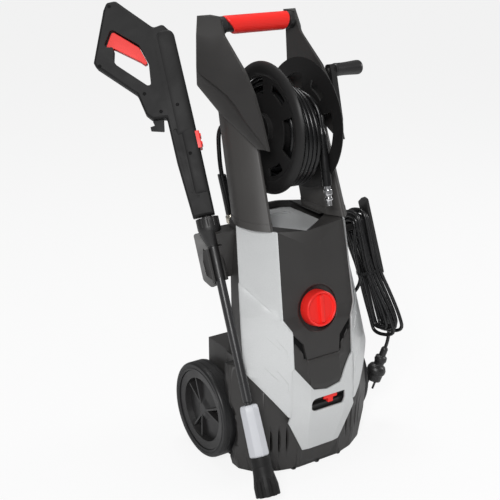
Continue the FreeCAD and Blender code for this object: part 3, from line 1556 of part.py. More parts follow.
def make_nozzle_head():
    """Fluted cap turned to set the jet, with a square-edged mouth."""
    r = nozzle_radius
    top = sleeve_low - free_gap
    profile = [(6.06, top), (r - 6.5, top), (r - 4.5, top - 12), (r - 3.5, top - 40), (r, top - 58), (r, nozzle_low),
               (r - 3, nozzle_low), (r - 4, nozzle_low + 14), (5.0, nozzle_low + 22), (5.0, nozzle_low + 29),
               (6.06, nozzle_low + 29)]
    head = lance_turned(profile)
    flutes = []
    for i in range(10):
        flute = cylinder(2.6, 40, V(r + 1.2, 0, nozzle_low + 3), V(0, 0, 1))
        flute.rotate(V(0, 0, 0), V(0, 0, 1), 36 * i)
        flutes.append(flute)
    return head.cut(Part.makeCompound(flutes))


def make_lance_holder():
    """Open trough on the body's side that the lance stands in, with a fin beside it."""
    inner = lance_plug_radius + 1.2
    trough = tube(inner + 3.5, inner, 64, V(0, 0, -68), V(0, 0, 1))
    ledge = tube(inner + 1, tube_radius + 0.6, 5, V(0, 0, lance_plug_low - free_gap - 5), V(0, 0, 1))
    mouth_side = box(V(-tube_radius - 0.6, 0, -80), V(tube_radius + 0.6, 40, 20))
    fin_outline = ((10, 34), (33, 34), (33, -58), (20, -76), (0, -72), (0, 0))
    fin = Part.Face(rounded_wire([V(x, -24, z) for x, z in fin_outline], [2, 5, 12, 8, 2, 2]))
    fin = fin.extrude(V(0, -4, 0))
    web = box(V(3, -25, -62), V(9, -inner - 1, -8))
    holder = trough.fuse([ledge, fin, web]).cut(mouth_side)
    holder = stored(holder)
    block = box(V(-170, 110, 398), V(-100, 150, 490))
    path = stored(cylinder(23.5, 140, V(0, 0, -3.0), V(0, 0, 1)))
    low_path = stored(cylinder(inner, 400, V(0, 0, -200), V(0, 0, 1)))
    block = block.cut(path).cut(low_path)
    return holder.fuse(block).cut(body_solid(-free_gap)).cut(stored(mouth_path()))


def mouth_path():
    """Room in front of the lance, through which it comes out sideways."""
    side = box(V(-tube_radius - 0.6, 0, -120), V(tube_radius + 0.6, 80, 60))
    return side


def make_all():
    """Every node by name; the order is the one the pieces go together in."""
    shell = body_shell()
    skin = panel_skin()
    arm = make_arm()
    axle_bore = cylinder(reel_axle_radius + free_gap, 80, V(80, reel_y, reel_z), V(1, 0, 0))
    parts = {
        "base_shell": make_base_shell(), "base_feet": make_base_feet(),
        "wheel_axle": make_wheel_axle(), "detergent_tank": make_detergent_tank(),
        "pump_body": make_pump_body(), "motor_housing": make_motor_housing(),
        "motor_shaft": make_motor_shaft(), "cooling_fan": make_cooling_fan(),
        "water_inlet": make_water_inlet(), "pressure_pipe": make_pressure_pipe(),
        "rear_housing": make_rear_housing(shell), "front_cover": make_front_cover(shell),
        "centre_panel": make_centre_panel(skin), "lower_panel": make_lower_panel(skin),
        "top_cover": make_top_cover(), "switch_box": make_switch_box(),
        "switch_knob": make_switch_knob(), "dosing_valve": make_dosing_valve(),
        "dosing_tab": make_dosing_tab(), "right_column": make_column(1), "left_column": make_column(-1),
        "right_arm": arm.cut(axle_bore), "left_arm": mirrored(arm).cut(swivel_room()),
        "handle_bar": make_handle_bar(), "handle_grip": make_handle_grip(),
        "reel_axle": make_reel_axle(), "reel_drum": make_reel_drum(),
        "hose_winding": make_hose_winding(), "hose_tail": make_hose_tail(),
        "hose_sleeve": make_hose_sleeve(), "hose_connector": make_hose_connector(),
        "crank_arm": make_crank_arm(), "crank_pin": make_crank_pin(), "crank_grip": make_crank_grip(),
        "outlet_fitting": make_outlet_fitting(), "feed_hose": make_feed_hose(),
        "feed_sleeve": make_feed_sleeve(), "reel_swivel": make_reel_swivel(),
        "cord_hook": make_cord_hook(), "cord_gland": make_cord_gland(),
        "cord_ends": Part.makeCompound([make_cord_lead(), make_cord_tail()]),
        "cord_hank": make_cord_hank(), "cord_tie": make_cord_tie(),
        "cord_plug": Part.makeCompound([make_cord_plug(), make_plug_pins()]),
        "lance_holder": make_lance_holder(),
        "gun_trigger": stored(make_gun_trigger()), "gun_button": stored(make_gun_button()),
        "gun_valve": stored(make_gun_valve()), "lance_collar": stored(make_lance_collar()),
        "lance_tube": stored(make_lance_tube()), "nozzle_sleeve": stored(make_nozzle_sleeve()),
        "nozzle_head": stored(make_nozzle_head()),
    }
    for side, name in ((1, "right"), (-1, "left")):
        parts["reel_" + name + "_flange"] = make_flange(side)
        parts["wheel_" + name + "_rim"] = make_rim(side)
        parts["wheel_" + name + "_tyre"] = make_tyre(side)
        parts["gun_" + name + "_half"] = stored(make_gun_half(-side))
    return parts


def main():
    os.makedirs("parts", exist_ok=True)
    for name, shape in make_all().items():
        if not shape.isValid():
            print("NOT VALID", name)
        shape.exportStep("parts/" + name + ".step")
        print(name, len(shape.Solids), round(shape.Volume / 1000, 1))


main()
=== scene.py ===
# %% [markdown]
# # An upright pressure washer, finished piece by piece
# The machine's frame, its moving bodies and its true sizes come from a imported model. This lesson
# loads that frame, aims a camera, and then gives every visible piece its finish: lacquer, moulded
# plastic, rubber, steel. Some pieces are carried over from the frame, and some are made again as
# smooth surfaces with numpy. Each cell does one step, and most of them print what they made.

# %% Load the frame
import json
import math

import bmesh
import bpy
import numpy as np
from mathutils import Matrix, Vector
from mathutils.bvhtree import BVHTree


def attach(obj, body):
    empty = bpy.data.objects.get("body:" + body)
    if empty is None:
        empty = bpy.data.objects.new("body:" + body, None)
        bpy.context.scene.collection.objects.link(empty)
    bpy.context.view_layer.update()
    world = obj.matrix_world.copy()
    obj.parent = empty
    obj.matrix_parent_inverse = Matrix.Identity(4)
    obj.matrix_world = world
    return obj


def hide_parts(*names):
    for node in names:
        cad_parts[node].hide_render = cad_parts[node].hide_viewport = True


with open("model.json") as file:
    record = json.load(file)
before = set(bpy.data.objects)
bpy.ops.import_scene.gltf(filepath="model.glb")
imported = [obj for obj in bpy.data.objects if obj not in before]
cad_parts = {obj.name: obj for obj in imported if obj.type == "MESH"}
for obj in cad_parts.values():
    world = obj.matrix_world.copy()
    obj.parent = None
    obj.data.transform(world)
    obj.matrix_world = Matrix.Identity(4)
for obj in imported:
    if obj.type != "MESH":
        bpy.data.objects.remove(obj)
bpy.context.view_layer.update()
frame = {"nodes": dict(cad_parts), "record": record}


# %% Two small helpers
def new_object(name, data):
    """A scene object that shows this data."""
    thing = bpy.data.objects.new(name, data)
    bpy.context.scene.collection.objects.link(thing)
    return thing


def unit(direction):
    """The direction divided by its length."""
    direction = np.asarray(direction, float)
    return direction / np.linalg.norm(direction)


# %% [markdown]
# ## The camera
# The picture is taken from the machine's front left, a little above it. A camera can be set by
# trial, but here its place was solved from straight edges that appear at both sides of the
# machine, so it is written down as numbers: a turn about the vertical, a pitch, a small roll and
# a place in metres. Three unit vectors follow from the angles, and they are the columns of the
# camera's rotation.

# %% Camera
camera_place = Vector((-1.1099, -1.4586, 1.1112))
camera_turn = math.radians(-33.128)
camera_pitch = math.radians(19.613)
camera_roll = math.radians(-0.136)


def camera_axes(turn, pitch, roll):
    """Right, up and back of a camera, as three unit vectors.

    Back points from the scene to the lens, level is (cos turn, sin turn, 0), and above is back x
    level. The roll turns level and above into right and up.
    """
    flat = math.cos(pitch)
    back = Vector((math.sin(turn) * flat, -math.cos(turn) * flat, math.sin(pitch)))
    level = Vector((math.cos(turn), math.sin(turn), 0.0))
    above = back.cross(level)
    right = math.cos(roll) * level + math.sin(roll) * above
    up = math.cos(roll) * above - math.sin(roll) * level
    return right, up, back


axes = Matrix(camera_axes(camera_turn, camera_pitch, camera_roll))
camera = new_object("camera", bpy.data.cameras.new("camera"))
camera.matrix_world = Matrix.Translation(camera_place) @ axes.transposed().to_4x4()
camera.data.lens = 73.34
camera.data.sensor_width = 36.0
camera.data.shift_x = -0.0006
camera.data.shift_y = -0.0010
camera.data.clip_end = 30.0
bpy.context.scene.camera = camera
print("camera", tuple(round(c, 3) for c in camera_place))

# %% [markdown]
# ## Soft lines: cords and hoses
# A cord is a fixed length of rubber that hangs and coils. It is best drawn as one smooth curve
# with a round section, because a curve keeps its thickness everywhere and has no corners. A NURBS
# spline of order 3 runs inside its control points like a bent lath, so the points are placed as
# the corners of the route.


# %% A cord from its route
def cord_curve(name, points, radius, sides=4):
    """One open NURBS spline of order 3 through its end points, with a round bevel of this radius."""
    curve = bpy.data.curves.new(name, "CURVE")
    curve.dimensions = "3D"
    spline = curve.splines.new("NURBS")
    spline.points.add(len(points) - 1)
    spline.points.foreach_set("co", np.column_stack([points, np.ones(len(points))]).ravel())
    spline.order_u = 3
    spline.use_endpoint_u = True
    spline.resolution_u = 6
    curve.bevel_depth = radius
    curve.bevel_resolution = sides
    curve.use_fill_caps = True
    return new_object(name, curve)


def curve_points(cord):
    """The points that the cord's spline is drawn with, as rows of x, y, z."""
    bare = cord.data.copy()
    bare.bevel_depth = 0.0
    probe = bpy.data.objects.new("probe", bare)
    mesh = bpy.data.meshes.new_from_object(probe)
    at = np.zeros(len(mesh.vertices) * 3)
    mesh.vertices.foreach_get("co", at)
    bpy.data.meshes.remove(mesh)
    bpy.data.objects.remove(probe)
    bpy.data.curves.remove(bare)
    return at.reshape(-1, 3)


def curve_length(cord):
    """Sum of the distances between the points that the spline is drawn with."""
    return float(np.linalg.norm(np.diff(curve_points(cord), axis=0), axis=1).sum())


# %% [markdown]
# ## The mains cord
# The mains cord comes out of a gland low in the side, rises to a hook, and is wound there in a
# long hank, narrow at its waist where a band ties it. Its turns lie side by side in four layers.
# Each turn is written as fourteen corners in the hank's own directions: down its length, out
# through its layers, and across.

# %% Directions of the hank
saddle = np.array([0.151, 0.099, 0.450])
hank_aim = np.array([0.172, 0.0395, 0.247])
cord_size = 0.0076
hank_pitch = 0.009
hank_layers = 4
layer_turns = 2
climb_turns = 0.5
down = unit(hank_aim - saddle)
out = unit(np.array([1.0, 0.0, 0.0]) - down * down[0])
across = np.cross(down, out)
print("hank leans", round(math.degrees(math.acos(-down[2])), 1), "degrees")


def hank_point(across_by, down_by, out_by):
    """A point this far across, down and out from the hook's saddle."""
    return saddle + across * across_by + down * down_by + out * out_by


# %% The turns
def hank_depth(turn):
    """How far a turn lies outside the smallest loop, and how far out from the body, in metres.

    The turns of one layer get wider, and those of the next get narrower. Past the first layer, a
    turn first climbs for half a round and then moves over.
    """
    layer = int(min(turn / layer_turns, hank_layers - 1e-9))
    inside = turn - layer * layer_turns
    share, climb = inside / layer_turns, 0.0
    if layer > 0:
        share = max(0.0, (inside - climb_turns) / (layer_turns - climb_turns))
        climb = min(1.0, inside / climb_turns) - 1.0
    outward = share if layer % 2 == 0 else 1.0 - share
    return hank_pitch * layer_turns * outward, hank_pitch * (layer + climb)


# Corners of a loop. Each row: share of the turn, place across, which way the loop's width pushes it
# across, place down, which way the width pushes it down, and its part of the foot's own numbers.
loop_corners = np.array([
    (0.00, 0.0125, 1, 0.0080, 0, 0.0), (0.03, 0.0125, 1, -0.0135, -1, 0.0),
    (0.09, -0.0125, -1, -0.0135, -1, 0.0), (0.13, -0.0125, -1, 0.0100, 0, 0.0),
    (0.22, -0.0052, -1, 0.0550, 0, 0.0), (0.30, 0.0022, -1, 0.1000, 0, 0.0),
    (0.38, -0.0030, -1, 0.1550, 0, 0.5), (0.46, -0.0075, -1, 0.2060, 0, 1.0),
    (0.50, -0.0070, -1, 0.2230, 1, 1.0), (0.56, 0.0310, 1, 0.2230, 1, 1.0),
    (0.61, 0.0315, 1, 0.2060, 0, 1.0), (0.70, 0.0215, 1, 0.1520, 0, 0.5),
    (0.78, 0.0106, 1, 0.1000, 0, 0.0), (0.89, 0.0105, 1, 0.0520, 0, 0.0)])
foot_drops = [-0.006, 0.002, -0.010, -0.002, 0.001, -0.011, -0.003, -0.008]
foot_spreads = [-0.003, 0.001, -0.004, 0.002, -0.002, -0.005, -0.001, -0.002]
foot_lifts = [-0.002, 0.002, 0.003, -0.002, 0.003, 0.001, -0.002, 0.004]
foot_stand_off = 0.010


def hank_turn(turn):
    """Corners of one loop: round the hook, down past the waist, round the foot, and up.

    Across = place + way * (width + part * foot's spread), down = place + way * width + part * foot's
    drop, and out = layer + part * stand-off, with the foot's lift at its corners. The feet differ,
    so no two loops are alike.
    """
    share, wide, wide_way, deep, deep_way, part = loop_corners.T
    width, layer = np.array([hank_depth(turn + s) for s in share]).T
    wide = wide + wide_way * (width + part * foot_spreads[turn])
    deep = deep + deep_way * width + part * foot_drops[turn]
    proud = layer + cord_size / 2 + part * foot_stand_off + (part == 1) * foot_lifts[turn]
    return list(hank_point(wide[:, None], deep[:, None], proud[:, None]))


print("loop", len(loop_corners), "corners")

# %% The whole cord, from its gland to its plug
gland_point = np.array([0.143, 0.095, 0.288])
gland_depth = 0.012
hank_entry = hank_point(0.0055, 0.070, cord_size / 2 - hank_pitch)
lead_corner = hank_entry + down * 0.060
gland_heading = unit(lead_corner - gland_point)
plug_top = np.array([0.2265, 0.057, 0.174])
plug_aim = unit([-23.7, 14.9, -84.8])
plug_straight = 0.026
last_corners = 6

cord_route = [gland_point - gland_heading * gland_depth, lead_corner, hank_entry,
              hank_point(0.0095, 0.035, -0.0045)]
for turn in range(hank_layers * layer_turns):
    cord_route += hank_turn(turn)
# The last loop is left after its sixth corner, and the free end runs from there to the plug
cord_route = cord_route[:last_corners - len(loop_corners)]
cord_route += [hank_point(-0.0105, 0.152, 0.0435), hank_point(-0.013, 0.210, 0.054),
               plug_top - plug_aim * plug_straight, plug_top]
mains_cord = cord_curve("mains_cord", cord_route, cord_size / 2)
cord_length = curve_length(mains_cord)
print("mains cord", len(cord_route), "points", round(cord_length, 3), "m")

# %% [markdown]
# ## The hoses
# The high-pressure hose is wound on the reel in loose turns that touch the drum's top and hang
# below it. No two turns are alike: each has its own radius, droop and step along the drum, and the
# outermost get smaller towards the right. The free end comes down beside the right flange to its
# ferrule and its plug. A short feed hose joins the housing's outlet to the swivel at the reel's
# left end.

# %% Hose on the reel
reel_axis = np.array([0.0, 0.1217, 0.677])
hose_size = 0.010
turn_corners = 12
# Each turn: radius and droop of the loop, and where along the drum it starts, in millimetres
inner_turns = [(64.0, 1.0, 35.0), (64.0, 1.2, 23.5), (64.2, 1.4, 12.0), (64.0, 1.2, 0.5),
               (64.2, 1.0, -11.0), (65.0, 1.2, -22.5), (73.5, 5.0, -34.5), (76.5, 6.2, -22.5),
               (76.0, 7.0, -10.5), (75.5, 9.0, 1.5), (75.2, 10.5, 13.0), (85.0, 8.0, -1.0),
               (88.0, 6.5, -13.0), (89.5, 7.0, -25.0), (93.0, 8.5, -35.5)]
outer_turns = [(106.0, 12.0, -36.0), (103.2, 14.6, -24.6), (100.4, 17.2, -13.2),
               (97.6, 19.8, -1.8), (94.8, 22.4, 9.6), (92.0, 25.0, 21.0)]
sways = [0.0] * len(inner_turns) + [0.0030, -0.0026, 0.0034, -0.0030, 0.0026]
sway_phase = 500
free_end = np.array([[0.0213, 0.1212, 0.7440], [0.0223, 0.0980, 0.7437], [0.0270, 0.0710, 0.7340],
                     [0.0320, 0.0520, 0.7120], [0.0320, 0.0460, 0.6840]])


def reel_turn(this, following, sway):
    """Corners of a drooping circle; radius, droop and place run evenly into the next turn's.

    The sway adds a slow wave of this many metres to the radius, so that the turns don't lie alike.
    """
    share = np.arange(turn_corners) / turn_corners
    angle = 2 * np.pi * share
    radius, droop, x = (a + (b - a) * share for a, b in zip(this, following))
    reach = radius / math.cos(math.pi / turn_corners) + sway * np.sin(angle + sway_phase * sway)
    y = reel_axis[1] - reach * np.sin(angle)
    z = reel_axis[2] - droop + reach * np.cos(angle)
    return np.column_stack([x, y, z])


every_turn = np.array(inner_turns + outer_turns) / 1000
hose_route = []
for this, following, sway in zip(every_turn, every_turn[1:], sways):
    hose_route += list(reel_turn(this, following, sway))
hose_route += list(free_end)
reel_hose = cord_curve("reel_hose", hose_route, hose_size / 2)
hose_length = curve_length(reel_hose)
print("reel hose", len(hose_route), "points", round(hose_length, 3), "m")

# %% Feed hose, held at both ends
feed_size = 0.009
feed_route = np.array([[-0.076, 0.200, 0.492], [-0.083, 0.206, 0.540], [-0.090, 0.212, 0.584],
                       [-0.089, 0.219, 0.624], [-0.087, 0.223, 0.656], [-0.086, 0.204, 0.678],
                       [-0.086, 0.166, 0.678]])
feed_hose = cord_curve("feed_hose", feed_route, feed_size / 2)
print("feed hose", round(curve_length(feed_hose), 3), "m")

# %% [markdown]
# ## Nodes
# A shader is a net of nodes. A few helpers keep such a net short to write: each adds one node, sets
# its sockets or links them, and gives back what the next node needs.

# %% Node helpers
def feed(tree, socket, value):
    """Link an output to the socket, or set the socket to a plain value."""
    if isinstance(value, bpy.types.NodeSocket):
        tree.links.new(value, socket)
    else:
        socket.default_value = value


def linked(tree, kind, **sockets):
    """A new node of this kind; each keyword is a socket's name, with _ for a space."""
    node = tree.nodes.new(kind)
    for label, value in sockets.items():
        feed(tree, node.inputs[label.replace("_", " ")], value)
    return node


def math_node(tree, operation, first, second):
    """The output of a Math node; first and second are outputs to link or plain numbers."""
    node = tree.nodes.new("ShaderNodeMath")
    node.operation = operation
    for socket, value in zip(node.inputs, (first, second)):
        feed(tree, socket, value)
    return node.outputs[0]


def shader_mix(tree, share, first, second):
    """The output of a Mix Shader node; share 0 gives the first shader and 1 the second."""
    mix = tree.nodes.new("ShaderNodeMixShader")
    for socket, output in zip(mix.inputs, (share, first, second)):
        tree.links.new(output, socket)
    return mix.outputs[0]


# %% [markdown]
# ## Floor, lamps and world
# The machine stands on a pale studio floor. Three soft lamps make long highlights on the dark
# plastic: a strong one at the front left, and weaker ones at the right and above. A weak world
# light fills the rest. The world is white to the camera and through clear pieces, and the floor
# glows for the camera alone, so the white background adds no light to the machine.

# %% Lamps
def area_lamp(name, place, size, power):
    """A square lamp at this place, turned so that its light falls towards the machine's middle."""
    lamp = new_object(name, bpy.data.lights.new(name, "AREA"))
    lamp.data.shape = "SQUARE"
    lamp.data.size = size
    lamp.data.energy = power
    lamp.location = place
    lamp.rotation_euler = (machine_middle - Vector(place)).to_track_quat("-Z", "Y").to_euler()


machine_middle = Vector((0.0, 0.1, 0.5))
area_lamp("key", (-2.1, -2.2, 2.3), 0.9, 88.0)
area_lamp("fill", (2.8, -0.6, 1.5), 0.8, 26.0)
area_lamp("top", (0.1, 0.8, 3.1), 1.2, 34.0)
print("lamps", len(bpy.data.lights))

# %% World
world = bpy.data.worlds.new("studio")
world.use_nodes = True
bpy.context.scene.world = world
tree = world.node_tree
tree.nodes.clear()
rays = tree.nodes.new("ShaderNodeLightPath").outputs
seen = math_node(tree, "MAXIMUM", rays["Is Camera Ray"], rays["Is Transmission Ray"])
soft = linked(tree, "ShaderNodeBackground", Color=(0.97, 0.98, 1.0, 1.0), Strength=0.20)
white = linked(tree, "ShaderNodeBackground", Color=(1.0, 1.0, 1.0, 1.0))
mixed = shader_mix(tree, seen, soft.outputs[0], white.outputs[0])
linked(tree, "ShaderNodeOutputWorld", Surface=mixed)
bpy.context.scene.view_settings.view_transform = "Standard"
print("world", world.name)

# %% Floor
floor_size, floor_height, paper_tone, glow_share = 30.0, -0.0005, 0.86, 0.86
bpy.ops.mesh.primitive_plane_add(size=floor_size, location=(0.0, 0.0, floor_height))
floor = bpy.context.active_object
floor.name = "floor"
paper = bpy.data.materials.new("paper")
paper.use_nodes = True
tree = paper.node_tree
matte = tree.nodes["Principled BSDF"]
matte.inputs["Base Color"].default_value = (paper_tone, paper_tone, paper_tone, 1.0)
matte.inputs["Roughness"].default_value = 0.9
rays = tree.nodes.new("ShaderNodeLightPath").outputs
share = math_node(tree, "MULTIPLY", rays["Is Camera Ray"], glow_share)
glow = tree.nodes.new("ShaderNodeEmission")
tree.links.new(shader_mix(tree, share, matte.outputs[0], glow.outputs[0]),
               tree.nodes["Material Output"].inputs[0])
floor.data.materials.append(paper)
print("floor", floor_size, "m wide")

# %% [markdown]
# ## Shader groups
# Moulded plastic, lacquer and rubber all have a fine grain, and all are a little uneven in gloss.
# That is made once, as a group of nodes: three noises in the piece's own coordinates give a
# height, a mask for the gloss and a mask for the colour. Each material then sets the scales.


# %% An empty group
def make_group(name, inputs, outputs):
    """An empty shader group with these named inputs (name, default) and outputs (name, kind)."""
    group = bpy.data.node_groups.new(name, "ShaderNodeTree")
    for label, value in inputs:
        socket = group.interface.new_socket(label, in_out="INPUT", socket_type="NodeSocketFloat")
        socket.default_value = value
    for label, kind in outputs:
        group.interface.new_socket(label, in_out="OUTPUT", socket_type=kind)
    return group, group.nodes.new("NodeGroupInput"), group.nodes.new("NodeGroupOutput")


# %% Grain group
grain_group, given, result = make_group(
    "moulded_grain", [("Grain", 1100.0), ("Clouds", 14.0)],
    [("Height", "NodeSocketFloat"), ("Gloss", "NodeSocketFloat"), ("Tone", "NodeSocketFloat")])
where = grain_group.nodes.new("ShaderNodeTexCoord").outputs["Object"]
grain, clouds = given.outputs["Grain"], given.outputs["Clouds"]
fine = linked(grain_group, "ShaderNodeTexNoise", Vector=where, Scale=grain, Detail=2.0)
broad = linked(grain_group, "ShaderNodeTexNoise", Vector=where, Scale=clouds, Detail=4.0)
smudge = linked(grain_group, "ShaderNodeTexNoise", Vector=where, Scale=clouds, Detail=6.0,
                Distortion=1.2)
grain_group.links.new(fine.outputs["Fac"], result.inputs["Height"])
grain_group.links.new(smudge.outputs["Fac"], result.inputs["Gloss"])
grain_group.links.new(broad.outputs["Fac"], result.inputs["Tone"])
print("group", grain_group.name)

# %% Flake group: bright specks of a metallic lacquer
flake_group, given, result = make_group("lacquer_flakes", [("Size", 2600.0)],
                                        [("Flake", "NodeSocketFloat")])
where = flake_group.nodes.new("ShaderNodeTexCoord").outputs["Object"]
cells = linked(flake_group, "ShaderNodeTexVoronoi", Vector=where, Scale=given.outputs["Size"])
parts = linked(flake_group, "ShaderNodeSeparateColor", Color=cells.outputs["Color"])
flake_group.links.new(parts.outputs[0], result.inputs["Flake"])
print("group", flake_group.name)

# %% Dust group: pale dust where a surface looks up
dust_group, given, result = make_group("settled_dust", [("Amount", 0.3), ("Scale", 60.0)],
                                       [("Dust", "NodeSocketFloat")])
normal = dust_group.nodes.new("ShaderNodeNewGeometry").outputs["Normal"]
facing = linked(dust_group, "ShaderNodeSeparateXYZ", Vector=normal)
where = dust_group.nodes.new("ShaderNodeTexCoord").outputs["Object"]
speckle = linked(dust_group, "ShaderNodeTexNoise", Vector=where, Scale=given.outputs["Scale"],
                 Detail=5.0)
upward = linked(dust_group, "ShaderNodeMapRange", Value=facing.outputs["Z"], From_Min=0.2,
                From_Max=1.0)
both = math_node(dust_group, "MULTIPLY", upward.outputs[0], speckle.outputs["Fac"])
dust = math_node(dust_group, "MULTIPLY", both, given.outputs["Amount"])
dust_group.links.new(dust, result.inputs["Dust"])
print("group", dust_group.name)

# %% [markdown]
# ## Finishes
# Each finish is a Principled shader. The plain numbers, such as metallic and coat, sit on the
# shader itself. The groups feed only what changes over the surface: colour, roughness and the
# height of a bump.

# %% A finish from its numbers
finishes = {}
coat_roughness, flake_gain, dust_colour = 0.22, 1.5, (0.30, 0.29, 0.27)


def blended(tree, factor, first, second):
    """A colour mix; factor is an output, and the colours are outputs or (red, green, blue)."""
    mix = tree.nodes.new("ShaderNodeMix")
    mix.data_type = "RGBA"
    tree.links.new(factor, mix.inputs["Factor"])
    for label, value in (("A", first), ("B", second)):
        plain = not isinstance(value, bpy.types.NodeSocket)
        feed(tree, mix.inputs[label], (*value, 1.0) if plain else value)
    return mix.outputs["Result"]


def grouped(tree, group, **numbers):
    """The outputs of a node that holds this group, with these numbers on its sockets."""
    node = tree.nodes.new("ShaderNodeGroup")
    node.node_tree = group
    for label, number in numbers.items():
        node.inputs[label].default_value = number
    return node.outputs


def finish(slot, color, tone, rough, metallic=0.0, grain=1100.0, clouds=14.0, bump=0.00004, dust=0.0,
           coat=0.0, specular=0.5, flakes=0.0):
    """Principled shader: colour drifts by `tone`, roughness runs over the pair `rough`, fine bump."""
    material = bpy.data.materials.new(slot)
    material.use_nodes = True
    tree = material.node_tree
    shader = tree.nodes["Principled BSDF"]
    for label, number in (("Metallic", metallic), ("Coat Weight", coat),
                          ("Coat Roughness", coat_roughness), ("Specular IOR Level", specular)):
        shader.inputs[label].default_value = number
    surface = grouped(tree, grain_group, Grain=grain, Clouds=clouds)
    darker = [c * (1 - tone) for c in color]
    lighter = [min(1.0, c * (1 + tone)) for c in color]
    colour = blended(tree, surface["Tone"], darker, lighter)
    if flakes > 0:
        strength = math_node(tree, "MULTIPLY", grouped(tree, flake_group)["Flake"], flakes)
        colour = blended(tree, strength, colour, [min(1.0, c * flake_gain) for c in color])
    if dust > 0:
        colour = blended(tree, grouped(tree, dust_group, Amount=dust)["Dust"], colour, dust_colour)
    gloss = linked(tree, "ShaderNodeMapRange", Value=surface["Gloss"], From_Min=0.3, From_Max=0.7,
                   To_Min=rough[0], To_Max=rough[1])
    relief = linked(tree, "ShaderNodeBump", Strength=0.5, Distance=bump, Height=surface["Height"])
    for label, output in (("Base Color", colour), ("Roughness", gloss.outputs[0]),
                          ("Normal", relief.outputs[0])):
        tree.links.new(output, shader.inputs[label])
    finishes[slot] = material


# %% The finishes
finish("silver_shell", (0.60, 0.61, 0.61), 0.03, (0.38, 0.46), metallic=0.35, grain=1500.0,
       bump=0.00002, coat=0.15, flakes=0.35)
finish("black_shell", (0.0320, 0.0305, 0.0295), 0.12, (0.40, 0.52), bump=0.00006, dust=0.03,
       specular=0.48)
# The columns' copy of the shell plastic is lighter: painted light, for the broad soft highlight down
# their round faces.
finish("column_shell_painted_light", (0.0520, 0.0495, 0.0475), 0.10, (0.42, 0.54), bump=0.00006, dust=0.03,
       specular=0.46)
finish("gun_plastic", (0.0130, 0.0128, 0.0130), 0.14, (0.50, 0.62), bump=0.00006, dust=0.03,
       specular=0.20)
finish("black_plastic", (0.0160, 0.0156, 0.0158), 0.14, (0.36, 0.48), bump=0.00006, dust=0.03,
       specular=0.46)
finish("red_plastic", (0.88, 0.026, 0.020), 0.05, (0.34, 0.46), bump=0.00003, specular=0.32)
# A near-black finish of painted shade, for pieces that stand for the shade in screw recesses and
# grooves.
finish("painted_shade", (0.0030, 0.0030, 0.0030), 0.20, (0.60, 0.75), specular=0.15)
finish("dull_pin", (0.045, 0.044, 0.043), 0.12, (0.40, 0.55), metallic=0.6)
# The reel's plastic is the black plastic made darker: painted shade for the hollow between the arms
# where the reel sits.
finish("reel_plastic_painted_shade", (0.0120, 0.0116, 0.0116), 0.14, (0.40, 0.52), bump=0.00006, dust=0.02,
       specular=0.28)
finish("tyre_plastic", (0.012, 0.012, 0.0125), 0.14, (0.38, 0.50), bump=0.00008, dust=0.04,
       specular=0.40)
finish("grey_plastic", (0.55, 0.56, 0.59), 0.03, (0.38, 0.48), bump=0.00004)
finish("dark_tube", (0.024, 0.024, 0.025), 0.08, (0.26, 0.36), bump=0.00003)
finish("hose_rubber", (0.005, 0.005, 0.0053), 0.12, (0.24, 0.36), clouds=40.0, bump=0.00003,
       specular=0.40)
finish("cord_rubber", (0.009, 0.009, 0.0095), 0.10, (0.24, 0.36), clouds=40.0, bump=0.00002)
finish("bright_steel", (0.70, 0.70, 0.71), 0.04, (0.14, 0.26), metallic=1.0, bump=0.00002)
finish("brass", (0.50, 0.47, 0.40), 0.06, (0.26, 0.38), metallic=1.0, bump=0.00003)
finish("pump_metal", (0.58, 0.59, 0.60), 0.06, (0.45, 0.60), metallic=1.0, grain=600.0, bump=0.0001)
finish("motor_metal", (0.05, 0.05, 0.055), 0.10, (0.40, 0.55), metallic=0.3)
print("finishes", len(finishes))

# %% [markdown]
# ## Pieces carried over from the frame
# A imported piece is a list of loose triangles. Welded together and shaded smooth up to a crease
# angle, the same shape shows its real roundness and keeps its sharp edges. Normals weighted by
# the size of each face keep the large flats flat, so only the narrow roundings carry a gradient.
# The welded copy stands for its node.

# %% Weld a node
node_slot = {row["node"]: row["material_slot"] for row in frame["record"]["subparts"]}
bodies = frame["record"]["behaviour"]["bodies"]
node_body = {node: body for body, nodes in bodies.items() for node in nodes}
both_sides = ((-1, "left"), (1, "right"))


def settle(piece, *nodes, look=None, stands=True):
    """Give a piece its finish, let it ride on its node's body, and let it stand for the nodes."""
    name = node_slot[nodes[0]]
    piece.data.materials.clear()
    piece.data.materials.append(finishes[look or name])
    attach(piece, node_body[nodes[0]])
    if stands:
        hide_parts(*nodes)


def soften(piece, crease, bevel=0.0, segments=2):
    """Shade smooth below the crease angle, bevel the sharper edges, and weight normals by area."""
    piece.data.shade_smooth()
    piece.data.set_sharp_from_angle(angle=math.radians(crease))
    if bevel > 0:
        edge = piece.modifiers.new("edge", "BEVEL")
        edge.width = bevel
        edge.segments = segments
        edge.limit_method = "ANGLE"
        edge.angle_limit = math.radians(crease)
        edge.use_clamp_overlap = True
        piece.data.set_sharp_from_angle(angle=math.pi)
    even = piece.modifiers.new("even", "WEIGHTED_NORMAL")
    even.mode = "FACE_AREA"
    even.weight = 100
    even.keep_sharp = True
    return piece


